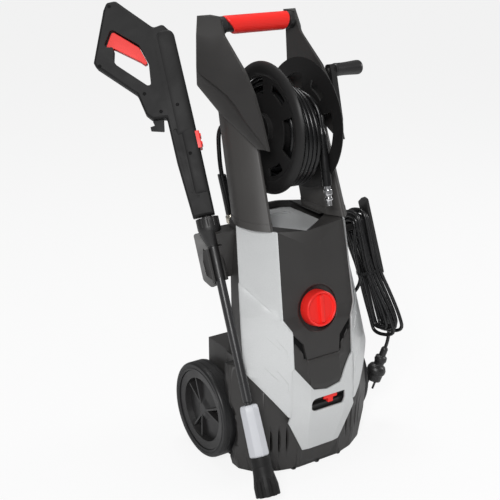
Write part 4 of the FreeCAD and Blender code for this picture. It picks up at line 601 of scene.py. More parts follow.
def weld(node, crease=30.0, bevel=0.0, look=None, flats=False):
    """Merge corners closer than 5 micrometres, soften, and let the copy stand for its node.

    Flat triangles are joined first where that is asked, and always under a bevel.
    """
    mesh = frame["nodes"][node].data.copy()
    mesh.name = node + "_skin"
    shape = bmesh.new()
    shape.from_mesh(mesh)
    bmesh.ops.remove_doubles(shape, verts=shape.verts, dist=5e-6)
    bmesh.ops.dissolve_degenerate(shape, edges=shape.edges, dist=1e-6)
    if flats or bevel > 0:
        bmesh.ops.dissolve_limit(shape, angle_limit=math.radians(0.2), verts=shape.verts,
                                 edges=shape.edges)
    shape.to_mesh(mesh)
    shape.free()
    piece = soften(new_object(node + "_skin", mesh), crease, bevel)
    settle(piece, node, look=look)


# %% [markdown]
# ## New surfaces
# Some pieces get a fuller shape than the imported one. Each is a grid of points worked out as whole
# arrays, and its faces join every point to its neighbours. A turned piece is a profile carried
# round an axis, with a relief that may change its radius: grooves, flutes and flats.


# %% Grids
def grid_faces(rows, columns, ring=False):
    """Quads between neighbours; the columns always close on themselves, the rows do in a ring."""
    row = np.arange(rows if ring else rows - 1)[:, None]
    column = np.arange(columns)[None, :]
    along = (column + 1) % columns
    below = (row + 1) % rows
    return np.stack([row * columns + column, row * columns + along, below * columns + along,
                     below * columns + column], axis=-1).reshape(-1, 4)


def capped_faces(rows, columns):
    """The quads of a grid whose rows don't close, and one face over each of its two ends."""
    last = (rows - 1) * columns
    caps = [tuple(range(columns)), tuple(range(last, last + columns))]
    return [tuple(face) for face in grid_faces(rows, columns)] + caps


def made(name, points, faces):
    """A linked object of these points and faces; doubles are merged and normals turned outwards."""
    mesh = bpy.data.meshes.new(name)
    mesh.from_pydata(points.reshape(-1, 3), [], faces)
    shape = bmesh.new()
    shape.from_mesh(mesh)
    bmesh.ops.remove_doubles(shape, verts=shape.verts, dist=1e-6)
    bmesh.ops.dissolve_degenerate(shape, edges=shape.edges, dist=1e-7)
    bmesh.ops.recalc_face_normals(shape, faces=shape.faces)
    print(name, "holds", round(shape.calc_volume(signed=True) * 1e6, 1), "cm3, open edges",
          sum(1 for edge in shape.edges if len(edge.link_faces) != 2))
    shape.to_mesh(mesh)
    shape.free()
    return new_object(name, mesh)


def turned(name, profile, base, axis, start, sides=96, ring=True, relief=None):
    """Point = base + height * axis + radius * (cos a * start + sin a * side), a going round.

    The profile's rows are (radius, height) in metres. The relief is a function of a, height and
    radius, and what it gives is added to the radius.
    """
    axis = unit(axis)
    start = unit(np.asarray(start, float) - axis * np.dot(start, axis))
    side = np.cross(axis, start)
    profile = np.array(profile, float)
    angle = 2 * np.pi * np.arange(sides)[None, :] / sides
    height = np.repeat(profile[:, 1:2], sides, axis=1)
    radius = np.repeat(profile[:, 0:1], sides, axis=1)
    if relief is not None:
        radius = radius + relief(np.repeat(angle, len(profile), axis=0), height, radius)
    points = (np.asarray(base, float) + height[..., None] * axis
              + (radius * np.cos(angle))[..., None] * start + (radius * np.sin(angle))[..., None] * side)
    return made(name, points, grid_faces(len(profile), sides, ring))


# %% [markdown]
# ## Tyres
# The hard plastic tyre is a ring with rounded shoulders, a shallow step beside the rim and a
# parting groove round its tread. The ring's profile is written once, and its axis points to the
# right for the right wheel and to the left for the left one.

# %% Tyres
wheel_centre = (0.0, 0.154, 0.100)
# Each point: radius, and distance from the machine's middle plane, in millimetres
tyre_profile = [(84.02, 145.0), (96.0, 145.0), (98.0, 146.2), (99.3, 148.0), (100.0, 151.0),
                (100.0, 155.6), (99.2, 156.2), (99.2, 157.4), (100.0, 158.0), (100.0, 170.0),
                (99.2, 170.6), (99.2, 171.8), (100.0, 172.4), (100.0, 177.0), (99.3, 180.0),
                (98.0, 181.8), (96.0, 183.0), (90.6, 183.0), (90.0, 182.2), (88.4, 182.2),
                (87.8, 183.0), (86.0, 183.0), (84.02, 182.2)]
for side, word in both_sides:
    tyre = turned(f"wheel_{word}_tyre_turned", np.array(tyre_profile) / 1000, wheel_centre,
                  (side, 0, 0), (0, 0, 1), sides=144)
    settle(soften(tyre, crease=28.0), f"wheel_{word}_tyre")

# %% [markdown]
# ## Grip
# The red sleeve on the handle bar is soft and slightly ribbed along its length, and its ends are
# cut at a slant. So it is a turned shape whose height is stretched: on each line along the
# sleeve, the two ends are found from how high the line lies.

# %% Grip
grip_y, grip_z, grip_radius, grip_half, grip_bore = 0.222, 0.862, 0.018, 0.073, 0.01355
end_slants = (0.020, 0.007)
end_gap, end_round, end_reach = 0.0005, 0.0016, 0.0022
rib_count, rib_height, rib_reach = 36, 0.00012, 0.006


def grip_surface(rows=30, sides=144):
    """x runs from the left slant to the right one; radius = 18 mm, less at the ends, plus fine ribs."""
    angle = 2 * np.pi * np.arange(sides)[None, :] / sides
    share = (1 - np.cos(np.pi * np.arange(rows) / (rows - 1)))[:, None] / 2
    lift = (1 - np.cos(angle)) / 2
    left = -grip_half - end_gap + (end_slants[0] + 2 * end_gap) * lift
    right = grip_half + end_gap - (end_slants[1] + 2 * end_gap) * lift
    x = left + (right - left) * share
    edge = np.minimum(share, 1 - share) * 2 * grip_half
    fall = end_round * np.clip(1 - edge / end_reach, 0, 1) ** 2
    ribs = rib_height * np.cos(rib_count * angle) * np.clip(edge / rib_reach, 0, 1)
    radius = grip_radius - rib_height - fall + ribs
    bore = np.full((2, sides), grip_bore)
    x, radius = np.concatenate([x, x[[-1, 0]]]), np.concatenate([radius, bore])
    points = np.stack([x, grip_y + radius * np.sin(angle), grip_z + radius * np.cos(angle)], axis=-1)
    return made("handle_grip_sleeve", points, grid_faces(rows + 2, sides, ring=True))


settle(soften(grip_surface(), crease=35.0), "handle_grip")
print("grip", round(2 * grip_half, 3), "m long")

# %% [markdown]
# ## Columns
# The two columns are hollow shells that lean back and get slimmer upwards. Their outer face is one
# broad curve without a fold. A column is a section with rounded corners at its foot, another at
# its top, and straight lines between them; each line ends just under the arm's sloping lower edge.

# %% Columns
# Corners of the two sections, as x and y of the right column, in millimetres
column_feet = np.array([(66, 68), (85, 33), (112, 58), (122, 105), (112, 136), (92, 152),
                        (66, 152)]) / 1000
column_heads = np.array([(66, 66), (78, 34), (96, 58), (105, 100), (99, 134), (88, 150),
                         (66, 150)]) / 1000
column_roundings = np.array([6.0, 5.0, 105.0, 60.0, 24.0, 8.0, 3.0]) / 1000
foot_height, head_height, column_lean = 0.5004, 0.705, 0.344
lip_heights = np.array([0.0, 0.0, 0.0128, 0.0130, 0.0131, 0.0134])
lip_proud, shell_start = 0.0009, 0.0150
# The arms' sloping lower edge: y, and the height that the columns' tops reach there
edge_y, edge_z = (0.044, 0.068, 0.172, 0.235), (0.6536, 0.6536, 0.7036, 0.7506)
# Corners of the notch behind the left column's head, where the feed hose passes
notch = ((-0.099, 0.134, 0.640), (-0.072, 0.270, 0.700))


def rounded_outline(corners, radii, count=10):
    """Each corner becomes an arc; it starts and ends radius / tan(half the angle) from the corner.

    That reach is at most 0.62 of the shorter side. A point of the arc is the centre + the weighted
    sum of its start and end, with weights sin(turn * (1 - share)) and sin(turn * share).
    """
    back = np.roll(corners, 1, axis=0) - corners
    ahead = np.roll(corners, -1, axis=0) - corners
    reach_back, reach_ahead = np.linalg.norm(back, axis=1), np.linalg.norm(ahead, axis=1)
    back /= reach_back[:, None]
    ahead /= reach_ahead[:, None]
    half = np.arccos(np.clip((back * ahead).sum(1), -1, 1)) / 2
    tangent = np.minimum(radii / np.tan(half), 0.62 * np.minimum(reach_back, reach_ahead))
    radius = tangent * np.tan(half)
    inward = (back + ahead) / np.linalg.norm(back + ahead, axis=1)[:, None]
    centre = corners + inward * (radius / np.sin(half))[:, None]
    start = corners + back * tangent[:, None] - centre
    end = corners + ahead * tangent[:, None] - centre
    turn = np.pi - 2 * half
    share = np.linspace(0, 1, count)
    first = np.sin(turn[:, None] * (1 - share)) / np.sin(turn)[:, None]
    last = np.sin(turn[:, None] * share) / np.sin(turn)[:, None]
    points = centre[:, None] + first[..., None] * start[:, None] + last[..., None] * end[:, None]
    return points.reshape(-1, 2)


def column_surface(name, side, rows=40):
    """Point = foot section + (head section - foot section) * share of the height, leaning back evenly.

    A thin lip stands proud round the foot. Each line's top is found in a few rounds: the height
    gives the place from front to back, and that gives the height of the arm's edge.
    """
    foot = rounded_outline(column_feet, column_roundings)
    head = rounded_outline(column_heads, column_roundings)
    around = np.roll(foot, -1, axis=0) - np.roll(foot, 1, axis=0)
    length = np.linalg.norm(around, axis=1)[:, None] + 1e-12
    outward = np.stack([around[:, 1], -around[:, 0]], axis=1) / length
    top = np.full(len(foot), 0.65)
    for _ in range(12):
        share = (top - foot_height) / (head_height - foot_height)
        y = foot[:, 1] + (head[:, 1] - foot[:, 1]) * share + column_lean * (top - foot_height)
        top = np.interp(y, edge_y, edge_z)
    shell = shell_start + (top - foot_height - shell_start) * np.linspace(0, 1, rows)[:, None]
    lift = np.concatenate([np.repeat(lip_heights[:, None], len(foot), axis=1), shell])
    proud = np.zeros(len(lift))
    proud[1:4] = lip_proud
    share = lift / (head_height - foot_height)
    flat = foot + (head - foot) * share[..., None] + outward * proud[:, None, None]
    leaning = flat[..., 1] + column_lean * lift
    points = np.stack([side * flat[..., 0], leaning, foot_height + lift], axis=-1)
    return made(name, points, capped_faces(len(lift), len(foot)))


def cut_away(piece, low, high):
    """Cut the box between two corners out of the piece, and keep the result as its mesh."""
    xs, ys, zs = zip(low, high)
    corners = np.array([[x, y, z] for x in xs for y in ys for z in zs])
    sides = [(0, 1, 3, 2), (4, 6, 7, 5), (0, 4, 5, 1), (2, 3, 7, 6), (0, 2, 6, 4), (1, 5, 7, 3)]
    block = made("cutter", corners, sides)
    cut = piece.modifiers.new("cut", "BOOLEAN")
    cut.operation = "DIFFERENCE"
    cut.object = block
    bpy.context.view_layer.update()
    graph = bpy.context.evaluated_depsgraph_get()
    shaped = bpy.data.meshes.new_from_object(piece.evaluated_get(graph))
    piece.modifiers.clear()
    piece.data = shaped
    bpy.data.objects.remove(block)


for side, word in both_sides:
    column = column_surface(word + "_column_shaped", side)
    if side < 0:
        cut_away(column, *notch)
    # The columns take the lighter copy of the shell plastic, which carries painted light.
    settle(soften(column, crease=32.0), word + "_column", look="column_shell_painted_light")
    print(column.name, len(column.data.polygons), "faces")

# %% [markdown]
# ## Arms
# Each arm is thin at its nose and broad at the back. Its outer face isn't flat: a ridge runs down
# it in an S, and below the ridge the face is hollowed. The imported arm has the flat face, so the
# new one is the same shape with the hollow pressed into it: a grid of heights by a line round
# the arm, where the outer face's points move in by an amount that grows below the ridge.

# %% Arms
arm_inner = 0.085
# Each row: height, front edge, nose, outer face at the rear, rear edge, in millimetres
arm_rows = np.array([[654.0, 44.0, 88.5, 96.0, 68.0], [704.0, 66.0, 90.0, 113.0, 172.0],
                     [751.0, 92.0, 92.0, 127.0, 235.0], [787.0, 122.0, 91.0, 127.0, 236.0],
                     [846.0, 196.0, 89.0, 123.0, 241.0], [880.0, 214.0, 88.5, 115.0, 250.0]]) / 1000
ridge_heights = [0.0, 0.06, 0.12, 0.18, 0.25, 0.31, 0.38, 0.44, 0.48, 0.52, 0.56]
ridge_shares = [0.14, 0.27, 0.36, 0.41, 0.425, 0.44, 0.49, 0.60, 0.75, 0.90, 0.975]
before_columns, past_columns, inner_columns = 24, 33, 17
hollow_depth, hollow_power, hollow_limit = 0.125, 0.85, 0.45


def arm_surface(name, side, rows=114):
    """Corners of the section at each height lie on straight lines between the stations' corners.

    The outer face runs from nose to rear by a share s. The ridge's share grows with height in an S.
    Past the ridge the face drops by a half sine, an eighth as deep as that part is wide, and one
    column of the grid lies on the ridge itself, so that it stays crisp.
    """
    low, high = arm_rows[0, 0], arm_rows[-1, 0]
    height = np.linspace(low, high, rows)
    front, nose, outer, rear = (np.interp(height, arm_rows[:, 0], column)[:, None]
                                for column in arm_rows.T[1:])
    ridge = np.interp((height - low) / (high - low), ridge_heights, ridge_shares)[:, None]
    before = np.linspace(0, 1, before_columns + 1)[None, :-1] * ridge
    past = np.linspace(0, 1, past_columns)[None, :]
    share = np.concatenate([before, ridge + past * (1 - ridge)], axis=1)
    depth = hollow_depth * (1 - ridge) * (rear - front)
    thick = (nose - arm_inner) + (outer - nose) * share
    hollow = np.zeros_like(share)
    hollow[:, before_columns:] = np.minimum(depth * np.sin(np.pi * past) ** hollow_power,
                                            hollow_limit * thick[:, before_columns:])
    back_again = np.ones((rows, 1)) * np.linspace(1, 0, inner_columns)
    inner_x = np.full_like(back_again, arm_inner)
    x = side * np.concatenate([nose + (outer - nose) * share - hollow, inner_x], axis=1)
    y = front + (rear - front) * np.concatenate([share, back_again], axis=1)
    points = np.stack([x, y, np.repeat(height[:, None], x.shape[1], axis=1)], axis=-1)
    return made(name, points, capped_faces(rows, x.shape[1]))


for side, word in both_sides:
    arm = soften(arm_surface(word + "_arm_shaped", side), crease=40.0, bevel=0.0022, segments=3)
    settle(arm, word + "_arm")

# %% [markdown]
# ## Lance end
# The grey sleeve above the nozzle is a rounded octagon that swells a little towards the nozzle.
# The nozzle is a turned cap whose lower half flares and carries flutes for the fingers. Both are
# turned shapes with a relief: a polygon's radius is its flat's distance divided by the cosine of
# the angle from the flat's middle.

# %% Where the lance stands
def turn_about(k, degrees):
    """Rotation matrix about axis 0, 1 or 2, by the rule of the right hand."""
    c, s = math.cos(math.radians(degrees)), math.sin(math.radians(degrees))
    matrix = np.eye(3)
    i, j = (k + 1) % 3, (k + 2) % 3
    matrix[i, i] = matrix[j, j] = c
    matrix[i, j], matrix[j, i] = -s, s
    return matrix


lance_foot = np.array([-0.158, 0.131, 0.458])
lance_frame = turn_about(0, -27.2) @ turn_about(1, 2.3) @ turn_about(2, 151.0)
lance_up = lance_frame[:, 2]
lance_out = lance_frame[:, 0]
print("lance leans", round(math.degrees(math.acos(lance_up[2])), 1), "degrees")


# %% Sleeve and nozzle
octagon_part, octagon_least = 0.75, 0.012
seam_depth, seam_shift, seam_middle, seam_half = 0.0006, 0.26, 0.02, 0.03
flute_count, flute_depth, flute_start, flute_run = 10, 0.0026, -0.446, 0.012
flute_square, flute_least = 3.0, 0.0206


def octagon(angle, height, radius):
    """Radius of a rounded octagon: three parts of the flat-sided figure and one of the circle.

    A fine seam runs down two opposite sides, and the bore stays round.
    """
    from_flat = (angle + np.pi / 8) % (np.pi / 4) - np.pi / 8
    flat = radius * math.cos(math.pi / 8) / np.cos(from_flat)
    seam = -seam_depth * (np.abs((angle + seam_shift) % np.pi - seam_middle) < seam_half)
    return np.where(radius > octagon_least, octagon_part * (flat - radius) + seam, 0.0)


def flutes(angle, height, radius):
    """Ten square-shouldered flutes, 2.6 mm deep, that start below the cap's shoulder."""
    reach = np.clip((flute_start - height) / flute_run, 0, 1)
    wave = np.clip(np.cos(flute_count * angle) * flute_square, 0, 1)
    return np.where(radius > flute_least, -flute_depth * reach * wave, 0.0)


# Each point of a profile: radius, and height from the foot of the lance up, in metres
sleeve_profile = [(0.00602, -0.409), (0.0172, -0.409), (0.0196, -0.4066)]
sleeve_profile += list(zip(np.linspace(0.0200, 0.0188, 14), np.linspace(-0.4035, -0.3190, 14)))
sleeve_profile += [(0.0176, -0.3130), (0.0160, -0.3112), (0.0105, -0.3104), (0.00903, -0.3104),
                   (0.00903, -0.3106), (0.00602, -0.3110)]
sleeve = turned("nozzle_sleeve_turned", sleeve_profile, lance_foot, lance_up, lance_out, sides=192,
                relief=octagon)
settle(soften(sleeve, crease=30.0), "nozzle_sleeve")
nozzle_profile = [(0.00606, -0.4093), (0.0172, -0.4093), (0.0186, -0.4105), (0.0192, -0.4140),
                  (0.0190, -0.4260), (0.0186, -0.4272), (0.0190, -0.4284), (0.0197, -0.4380)]
nozzle_profile += list(zip(np.linspace(0.0199, 0.0240, 10), np.linspace(-0.4420, -0.4650, 10)))
nozzle_profile += [(0.0240, -0.4700), (0.0240, -0.4830), (0.0234, -0.4840), (0.0212, -0.4840),
                   (0.0204, -0.4820), (0.0200, -0.4700), (0.0050, -0.4620), (0.0050, -0.4550),
                   (0.00606, -0.4550)]
nozzle = turned("nozzle_head_turned", nozzle_profile, lance_foot, lance_up, lance_out, sides=240,
                relief=flutes)
settle(soften(nozzle, crease=30.0), "nozzle_head", look="gun_plastic")
print("lance end", len(sleeve.data.vertices), len(nozzle.data.vertices), "points")

# %% [markdown]
# ## Cheeks of the gun
# The gun's body is a flat-sided block, but over the barrel its sides swell like a tube, in two
# steps. Over the screw recesses in the sides sit small discs painted near black, as painted shade
# of the holes. Each swell is a shallow vault over a strip of the side: its height falls from the
# middle line to the strip's edges, and to its ends.

# %% Barrel swells
gun_half = 0.0160
swell_power, swell_round, swell_sunk, swell_floor = 2.6, 0.55, 0.0006, 0.0030
# Each swell: its lower and upper end, its two sides, and its rise, in metres
swells = {"upper": (0.224, 0.432, -0.0150, 0.0215, 0.0030),
          "lower": (0.104, 0.242, -0.0150, 0.0120, 0.0022)}


def gun_place(local):
    """Gun's own x, y, z into the machine's: the foot of the lance plus the turned vector."""
    return lance_foot + np.asarray(local) @ lance_frame.T


def barrel_swell(name, side, low, high, x_low, x_high, rise, rows=48, columns=25):
    """y = side * (half thickness + rise * (1 - t^2.6)^0.55 * end fade), t from -1 to 1 across."""
    along = (1 - np.cos(np.pi * np.arange(rows) / (rows - 1)))[:, None] / 2
    across_by = -np.cos(np.pi * np.arange(columns) / (columns - 1))[None, :]
    z = low + (high - low) * along
    middle, half = (x_low + x_high) / 2, (x_high - x_low) / 2
    fade = 0.9 * half
    end = np.clip(1 - np.minimum(z - low, high - z) / fade, 0, 1)
    narrow = np.sqrt(np.clip(1 - np.clip(1 - (high - z) / fade, 0, 1) ** 2, 0.0, 1))
    fall = np.clip(1 - end ** swell_power, 0, 1) ** swell_round
    vault = np.clip(1 - np.abs(across_by) ** swell_power, 0, 1) ** swell_round
    x = middle + half * across_by * (0.25 + 0.75 * narrow)
    y = side * (gun_half - swell_sunk + (rise + swell_sunk) * vault * fall)
    z = z * np.ones_like(x)
    top = np.stack([x, y, z], axis=-1)
    bottom = np.stack([x, np.full_like(x, side * (gun_half - swell_floor)), z], axis=-1)[:, ::-1]
    points = gun_place(np.concatenate([top, bottom], axis=1))
    return made(name, points, capped_faces(rows, 2 * columns))


for side, word in both_sides:
    for part, numbers in swells.items():
        swell = barrel_swell(f"gun_{word}_{part}_swell", side, *numbers)
        settle(soften(swell, crease=45.0), f"gun_{word}_half", look="gun_plastic", stands=False)

# %% Painted shade of the screw recesses
# Each spot: x and z in the gun, and how far the side swells out there, in millimetres
screw_spots = [(6, 416, 2.2), (97, 501, 0.0), (8, 282, 2.9), (42, 276, 0.0), (66, 317, 0.0),
               (139, 389, 0.0), (4, 184, 2.0), (4, 112, 0.6)]
# A disc of painted shade over each recess: radius, and height over the side, in metres
painted_shade_disc_rows = [(0.0, -0.0008), (0.0034, -0.0008), (0.0034, 0.0002), (0.0030, 0.0004),
               (0.0027, 0.0002), (0.0, 0.0001)]
for side, word in both_sides:
    for number, (x, z, lift) in enumerate(screw_spots):
        spot = gun_place((x / 1000, side * (gun_half + lift / 1000), z / 1000))
        painted_shade_disc = turned(f"gun_{word}_recess_{number}", painted_shade_disc_rows, spot, side * lance_frame[:, 1],
                        lance_up, sides=24, ring=False)
        settle(soften(painted_shade_disc, crease=40.0), f"gun_{word}_half", look="painted_shade", stands=False)
print("swells", 2 * len(swells), "recesses", 2 * len(screw_spots))

# %% [markdown]
# ## Knob, crank grip and hose plug
# The red dial is a dish with a thick rounded rim, a sunk face and a raised bar across it. The crank's
# grip is a turned handle with a soft waist. The hose's plug is chromed steel with the step and
# the groove that a quick coupling grips. All three are turned shapes; the bar is a rounded block.

# %% Knob
# The panel's slope: it runs back by this much over this height, from its foot at this y and z
panel_run, panel_rise, panel_foot_y, panel_foot_z = 0.030, 0.167, -0.003, 0.333
knob_height, face_out, knob_sunk = 0.3385, 0.004, 0.008
panel_lean = math.atan2(panel_run, panel_rise)
knob_axis = np.array([0.0, -math.cos(panel_lean), math.sin(panel_lean)])
knob_y = panel_foot_y + (knob_height - panel_foot_z) * panel_run / panel_rise + face_out
knob_base = np.array([0.0, knob_y, knob_height]) - knob_sunk * knob_axis
dish_profile = [(0.0, 0.0005), (0.0362, 0.0005), (0.0365, 0.0010), (0.0364, 0.0040), (0.0352, 0.0195),
                (0.0345, 0.0215), (0.0334, 0.0226), (0.0322, 0.0230), (0.0310, 0.0226),
                (0.0301, 0.0214), (0.0292, 0.0184), (0.0284, 0.0175), (0.0, 0.0172)]
dish = turned("switch_knob_dish", dish_profile, knob_base, knob_axis, (1, 0, 0), sides=128,
              ring=False)
bar_straight, bar_least = 0.86, 0.001
settle(soften(dish, crease=40.0), "switch_knob")


def rounded_bar(name, base, axes, half_width, half_length, height, rows=28, around=24):
    """Half a rounded tube: across = half width * slim * cos(turn)^0.45, up = height * sin(turn)^0.6.

    Slim falls from 1 to nearly 0 by a quarter circle at both ends. The axes are the directions
    across, along and up.
    """
    place = np.linspace(-1, 1, rows)[:, None]
    turn = np.pi * np.arange(around)[None, :] / (around - 1)
    end = np.clip((np.abs(place) - bar_straight) / (1 - bar_straight), 0, 1)
    slim = np.sqrt(np.clip(1 - end ** 2, 0, 1)) * (1 - bar_least) + bar_least
    wide = half_width * slim * np.sign(np.cos(turn)) * np.abs(np.cos(turn)) ** 0.45
    long = half_length * place * np.ones_like(turn)
    tall = height * (0.25 + 0.75 * slim) * np.sin(turn) ** 0.6
    points = base + sum(by[..., None] * axis for by, axis in zip((wide, long, tall), axes))
    return made(name, points, capped_faces(rows, around))


bar_out = 0.0165
bar_axes = (np.array([1.0, 0.0, 0.0]), np.cross(knob_axis, (1.0, 0.0, 0.0)), knob_axis)
bar = rounded_bar("switch_knob_bar", knob_base + bar_out * knob_axis, bar_axes, half_width=0.0048,
                  half_length=0.0284, height=0.0085)
settle(soften(bar, crease=50.0), "switch_knob", stands=False)
print("knob", len(dish.data.vertices) + len(bar.data.vertices), "points")

# %% Crank grip
crank_x, crank_reach, crank_angle, grip_stand_off = 0.118, 0.094, math.radians(12.0), 0.0133
flat_count, flat_depth, flat_fade = 8, 0.0003, 0.006
flats_from, flats_to, flats_least = 0.004, 0.061, 0.0125
crank_tip = np.array([crank_x, reel_axis[1] + crank_reach * math.sin(crank_angle),
                      reel_axis[2] + crank_reach * math.cos(crank_angle)])
grip_rows = [(0.00506, 0.0), (0.0105, 0.0), (0.0122, 0.0006), (0.0130, 0.0022), (0.0133, 0.0050),
             (0.0130, 0.0120), (0.0129, 0.0220), (0.0132, 0.0330), (0.0138, 0.0440), (0.0143, 0.0530),
             (0.0145, 0.0590), (0.0141, 0.0625), (0.0130, 0.0646), (0.0110, 0.0657), (0.0080, 0.0660),
             (0.0, 0.0660), (0.0, 0.0590), (0.00506, 0.0590)]


def finger_waves(angle, height, radius):
    """Eight very shallow lengthwise flats, 0.3 mm deep, that fade out at the ends."""
    fade = np.clip(np.minimum(height - flats_from, flats_to - height) / flat_fade, 0, 1)
    wave = 0.5 + 0.5 * np.cos(flat_count * angle)
    return np.where(radius > flats_least, -flat_depth * fade * wave, 0.0)


crank_handle = turned("crank_grip_turned", grip_rows, crank_tip + np.array([grip_stand_off, 0, 0]),
                      (1, 0, 0), (0, 0, 1), sides=128, relief=finger_waves)
settle(soften(crank_handle, crease=40.0), "crank_grip")

# %% Hose plug
ferrule_reach = 0.112
tail_aim = unit(hose_route[-1] - hose_route[-2])
plug_rows = [(0.0, 0.0), (0.0060, 0.0), (0.0060, 0.0060), (0.0076, 0.0066), (0.0080, 0.0076),
             (0.0080, 0.0150), (0.0076, 0.0160), (0.0062, 0.0166), (0.0060, 0.0180), (0.0060, 0.0210),
             (0.0066, 0.0222), (0.0078, 0.0232), (0.0080, 0.0242), (0.0080, 0.0262), (0.0074, 0.0272),
             (0.0056, 0.0280), (0.0054, 0.0300), (0.0054, 0.0345), (0.0050, 0.0350), (0.0050, 0.0358),
             (0.0054, 0.0362), (0.0054, 0.0376), (0.0048, 0.0380), (0.0, 0.0380)]
hose_plug = turned("hose_connector_turned", plug_rows, hose_route[-1] + ferrule_reach * tail_aim,
                   tail_aim, (1, 0, 0), sides=64, ring=False)
settle(soften(hose_plug, crease=32.0), "hose_connector")
points = [len(piece.data.vertices) for piece in (crank_handle, hose_plug)]
print("crank grip and plug", *points, "points")

# %% [markdown]
# ## The cord's tie
# A narrow band holds the hank at its waist. To fit it, the strands are found where the cord's
# smooth line crosses the waist's plane, and the band runs round them like a rubber band: in every
# direction it touches the strand that lies furthest out that way.

# %% Cord tie
def tie_band(name, drop, half_width=0.0026, thick=0.0011, gap=0.0003, sides=120):
    """Point = furthest strand in direction a + (cord radius + gap) * direction a, for a going round."""
    local = (curve_points(mains_cord) - saddle) @ np.stack([across, down, out], axis=1)
    before, after = local[:-1], local[1:]
    cross = (before[:, 1] - drop) * (after[:, 1] - drop) <= 0
    share = (drop - before[cross, 1]) / (after[cross, 1] - before[cross, 1] + 1e-12)
    strands = (before[cross] + (after[cross] - before[cross]) * share[:, None])[:, [0, 2]]
    angle = 2 * np.pi * np.arange(sides) / sides
    heading = np.stack([np.cos(angle), np.sin(angle)], axis=1)
    furthest = strands[np.argmax(strands @ heading.T, axis=0)]
    rings = []
    for low, reach in ((-1, 0.0), (1, 0.0), (1, thick), (-1, thick)):
        flat = furthest + heading * (cord_size / 2 + gap + reach)
        rings.append(hank_point(flat[:, :1], drop + low * half_width, flat[:, 1:]))
    print("strands in the tie", len(strands))
    return made(name, np.array(rings), grid_faces(4, sides, ring=True))


tie_drop = 0.100
settle(soften(tie_band("cord_tie_band", tie_drop), crease=40.0), "cord_tie")

# %% [markdown]
# ## Fine lines on the flanks
# The silver flanks carry thin raised lines. Each is a bead whose line was drawn from the front and
# dropped straight back onto the flank, so it follows the shell's slope everywhere.

# %% Lines on the flanks
bead_radius, before_front = 0.00055, -0.2
# Each line: x and z of its corners on the left flank, in millimetres; the right one mirrors them
flank_lines = [
    [(-94.7, 291.6), (-81.2, 269.7), (-80.5, 257.9)],
    [(-112.8, 298.8), (-91.2, 272.9)],
    [(-98.8, 230.7), (-82.0, 203.3), (-81.6, 188.9)],
    [(-119.8, 238.8), (-96.1, 208.5)],
]


def shell_tree(node):
    """A tree of the node's triangles, to find where a straight line meets them."""
    mesh = frame["nodes"][node].data
    corners = np.zeros(len(mesh.vertices) * 3)
    mesh.vertices.foreach_get("co", corners)
    faces = [tuple(p.vertices) for p in mesh.polygons]
    return BVHTree.FromPolygons(corners.reshape(-1, 3).tolist(), faces)


def on_shell(tree, x, z):
    """Where a line from the front, at this x and z, first meets the shell, or None."""
    return tree.ray_cast(Vector((x, before_front, z)), Vector((0.0, 1.0, 0.0)))[0]


cover_tree = shell_tree("front_cover")
for side, word in ((1, "left"), (-1, "right")):
    for number, line in enumerate(flank_lines):
        spots = []
        for (x0, z0), (x1, z1) in zip(line, line[1:]):
            spots += [(x0 + (x1 - x0) * t, z0 + (z1 - z0) * t) for t in np.linspace(0, 1, 8)[:-1]]
        spots.append(line[-1])
        path = np.array([on_shell(cover_tree, side * x / 1000, z / 1000) for x, z in spots])
        bead = cord_curve(f"flank_line_{word}_{number}", path, bead_radius, sides=3)
        settle(bead, "front_cover", stands=False)
print("flank lines", 2 * len(flank_lines))

# %% [markdown]
# ## Painted shade in the grooves beside the tongue
# Along both sides of the front panel's tongue runs an open groove. Its floor lies in deep shade,
# so it gets a thin near-black sheet of painted shade. The groove lies between two lines seen from
# the front, and the sheet lies between them, dropped straight back onto the groove's floor.

# %% Sheets of painted shade in the grooves
# Each line: x and z of its corners, seen from the front
tongue_side = np.array([(40.2, 246.5), (44.9, 276.4), (71.0, 305.2)]) / 1000
groove_side = np.array([(45.4, 247.6), (46.4, 259.6), (72.0, 289.0)]) / 1000
painted_shade_sheet_lift, painted_shade_sheet_depth = 0.0004, 0.0002


def even_steps(line, count):
    """Points at equal shares of a broken line's own length."""
    run = np.concatenate([[0.0], np.cumsum(np.linalg.norm(np.diff(line, axis=0), axis=1))])
    share = np.linspace(0.0, run[-1], count)
    return np.stack([np.interp(share, run, line[:, k]) for k in (0, 1)], axis=-1)


def painted_shade_sheet(name, side, tree, rows=30, columns=6):
    """Sheet of painted shade between the two lines: (1 - s) * inner + s * outer, s from 0 to 1, on the
    floor.
    """
    inner, outer = even_steps(tongue_side, rows), even_steps(groove_side, rows)
    share = np.linspace(0.0, 1.0, columns)[None, :, None]
    flat = (1 - share) * inner[:, None] + share * outer[:, None]
    flat[..., 0] *= side
    hits = [on_shell(tree, x, z) for x, z in flat.reshape(-1, 2)]
    deep = np.array([np.nan if hit is None else hit[1] for hit in hits]).reshape(rows, columns)
    deep = np.where(np.isnan(deep), np.nanmax(deep), deep)
    print(name, "floor from", round(float(deep.min()), 4), "to", round(float(deep.max()), 4))
    top = np.stack([flat[..., 0], deep - painted_shade_sheet_lift, flat[..., 1]], axis=-1)
    bottom = top[:, ::-1] + (0.0, painted_shade_sheet_depth, 0.0)
    return made(name, np.concatenate([top, bottom], axis=1), capped_faces(rows, 2 * columns))


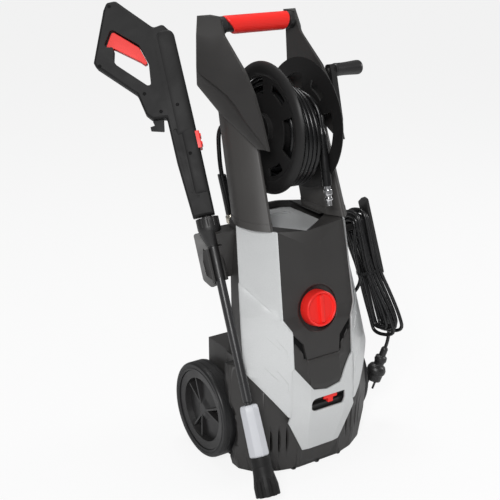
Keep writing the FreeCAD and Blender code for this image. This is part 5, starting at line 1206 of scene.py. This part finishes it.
panel_tree = shell_tree("lower_panel")
for side, word in both_sides:
    sheet = painted_shade_sheet(f"groove_{word}_lining", side, panel_tree)
    settle(soften(sheet, crease=40.0), "lower_panel", look="painted_shade", stands=False)

# %% [markdown]
# ## The rest of the pieces
# Every other visible piece is welded from its node. Pieces with broad moulded edges get a narrow
# bevel as well, because the small rounding on such an edge is what catches the light. Pieces deep
# inside the body only get their finish.

# %% Weld the shells and the rest
made_apart = {"cord_ends", "cord_hank", "hose_winding", "hose_tail", "feed_hose", "wheel_left_tyre",
              "wheel_right_tyre", "handle_grip", "left_arm", "right_arm", "left_column", "right_column",
              "nozzle_sleeve", "nozzle_head", "switch_knob", "crank_grip", "hose_connector", "cord_tie"}
hidden = {"motor_housing", "motor_shaft", "cooling_fan", "pressure_pipe", "gun_valve", "detergent_tank"}
bevels = {"dosing_tab": 0.0006, "crank_arm": 0.0015, "cord_hook": 0.0012, "hose_sleeve": 0.0010,
          "handle_bar": 0.0010, "wheel_left_rim": 0.0008, "wheel_right_rim": 0.0008,
          "cord_plug": 0.0010, "gun_button": 0.0006, "gun_trigger": 0.0010, "lance_holder": 0.0012,
          "reel_left_flange": 0.0009, "reel_right_flange": 0.0009}
flat_faced = {"gun_left_half", "gun_right_half"}
# The reel's pieces and the crank arm take the darker plastic that carries painted shade.
looks = {"crank_pin": "dull_pin", "gun_left_half": "gun_plastic", "gun_right_half": "gun_plastic",
         "reel_left_flange": "reel_plastic_painted_shade", "reel_right_flange": "reel_plastic_painted_shade",
         "reel_drum": "reel_plastic_painted_shade", "crank_arm": "reel_plastic_painted_shade"}
for node in frame["nodes"]:
    if node in hidden:
        frame["nodes"][node].data.materials.clear()
        frame["nodes"][node].data.materials.append(finishes[node_slot[node]])
    elif node not in made_apart:
        weld(node, bevel=bevels.get(node, 0.0), flats=node in flat_faced, look=looks.get(node))

# %% Cords and hoses take their places
settle(mains_cord, "cord_hank", "cord_ends")
settle(reel_hose, "hose_winding", "hose_tail")
settle(feed_hose, "feed_hose")
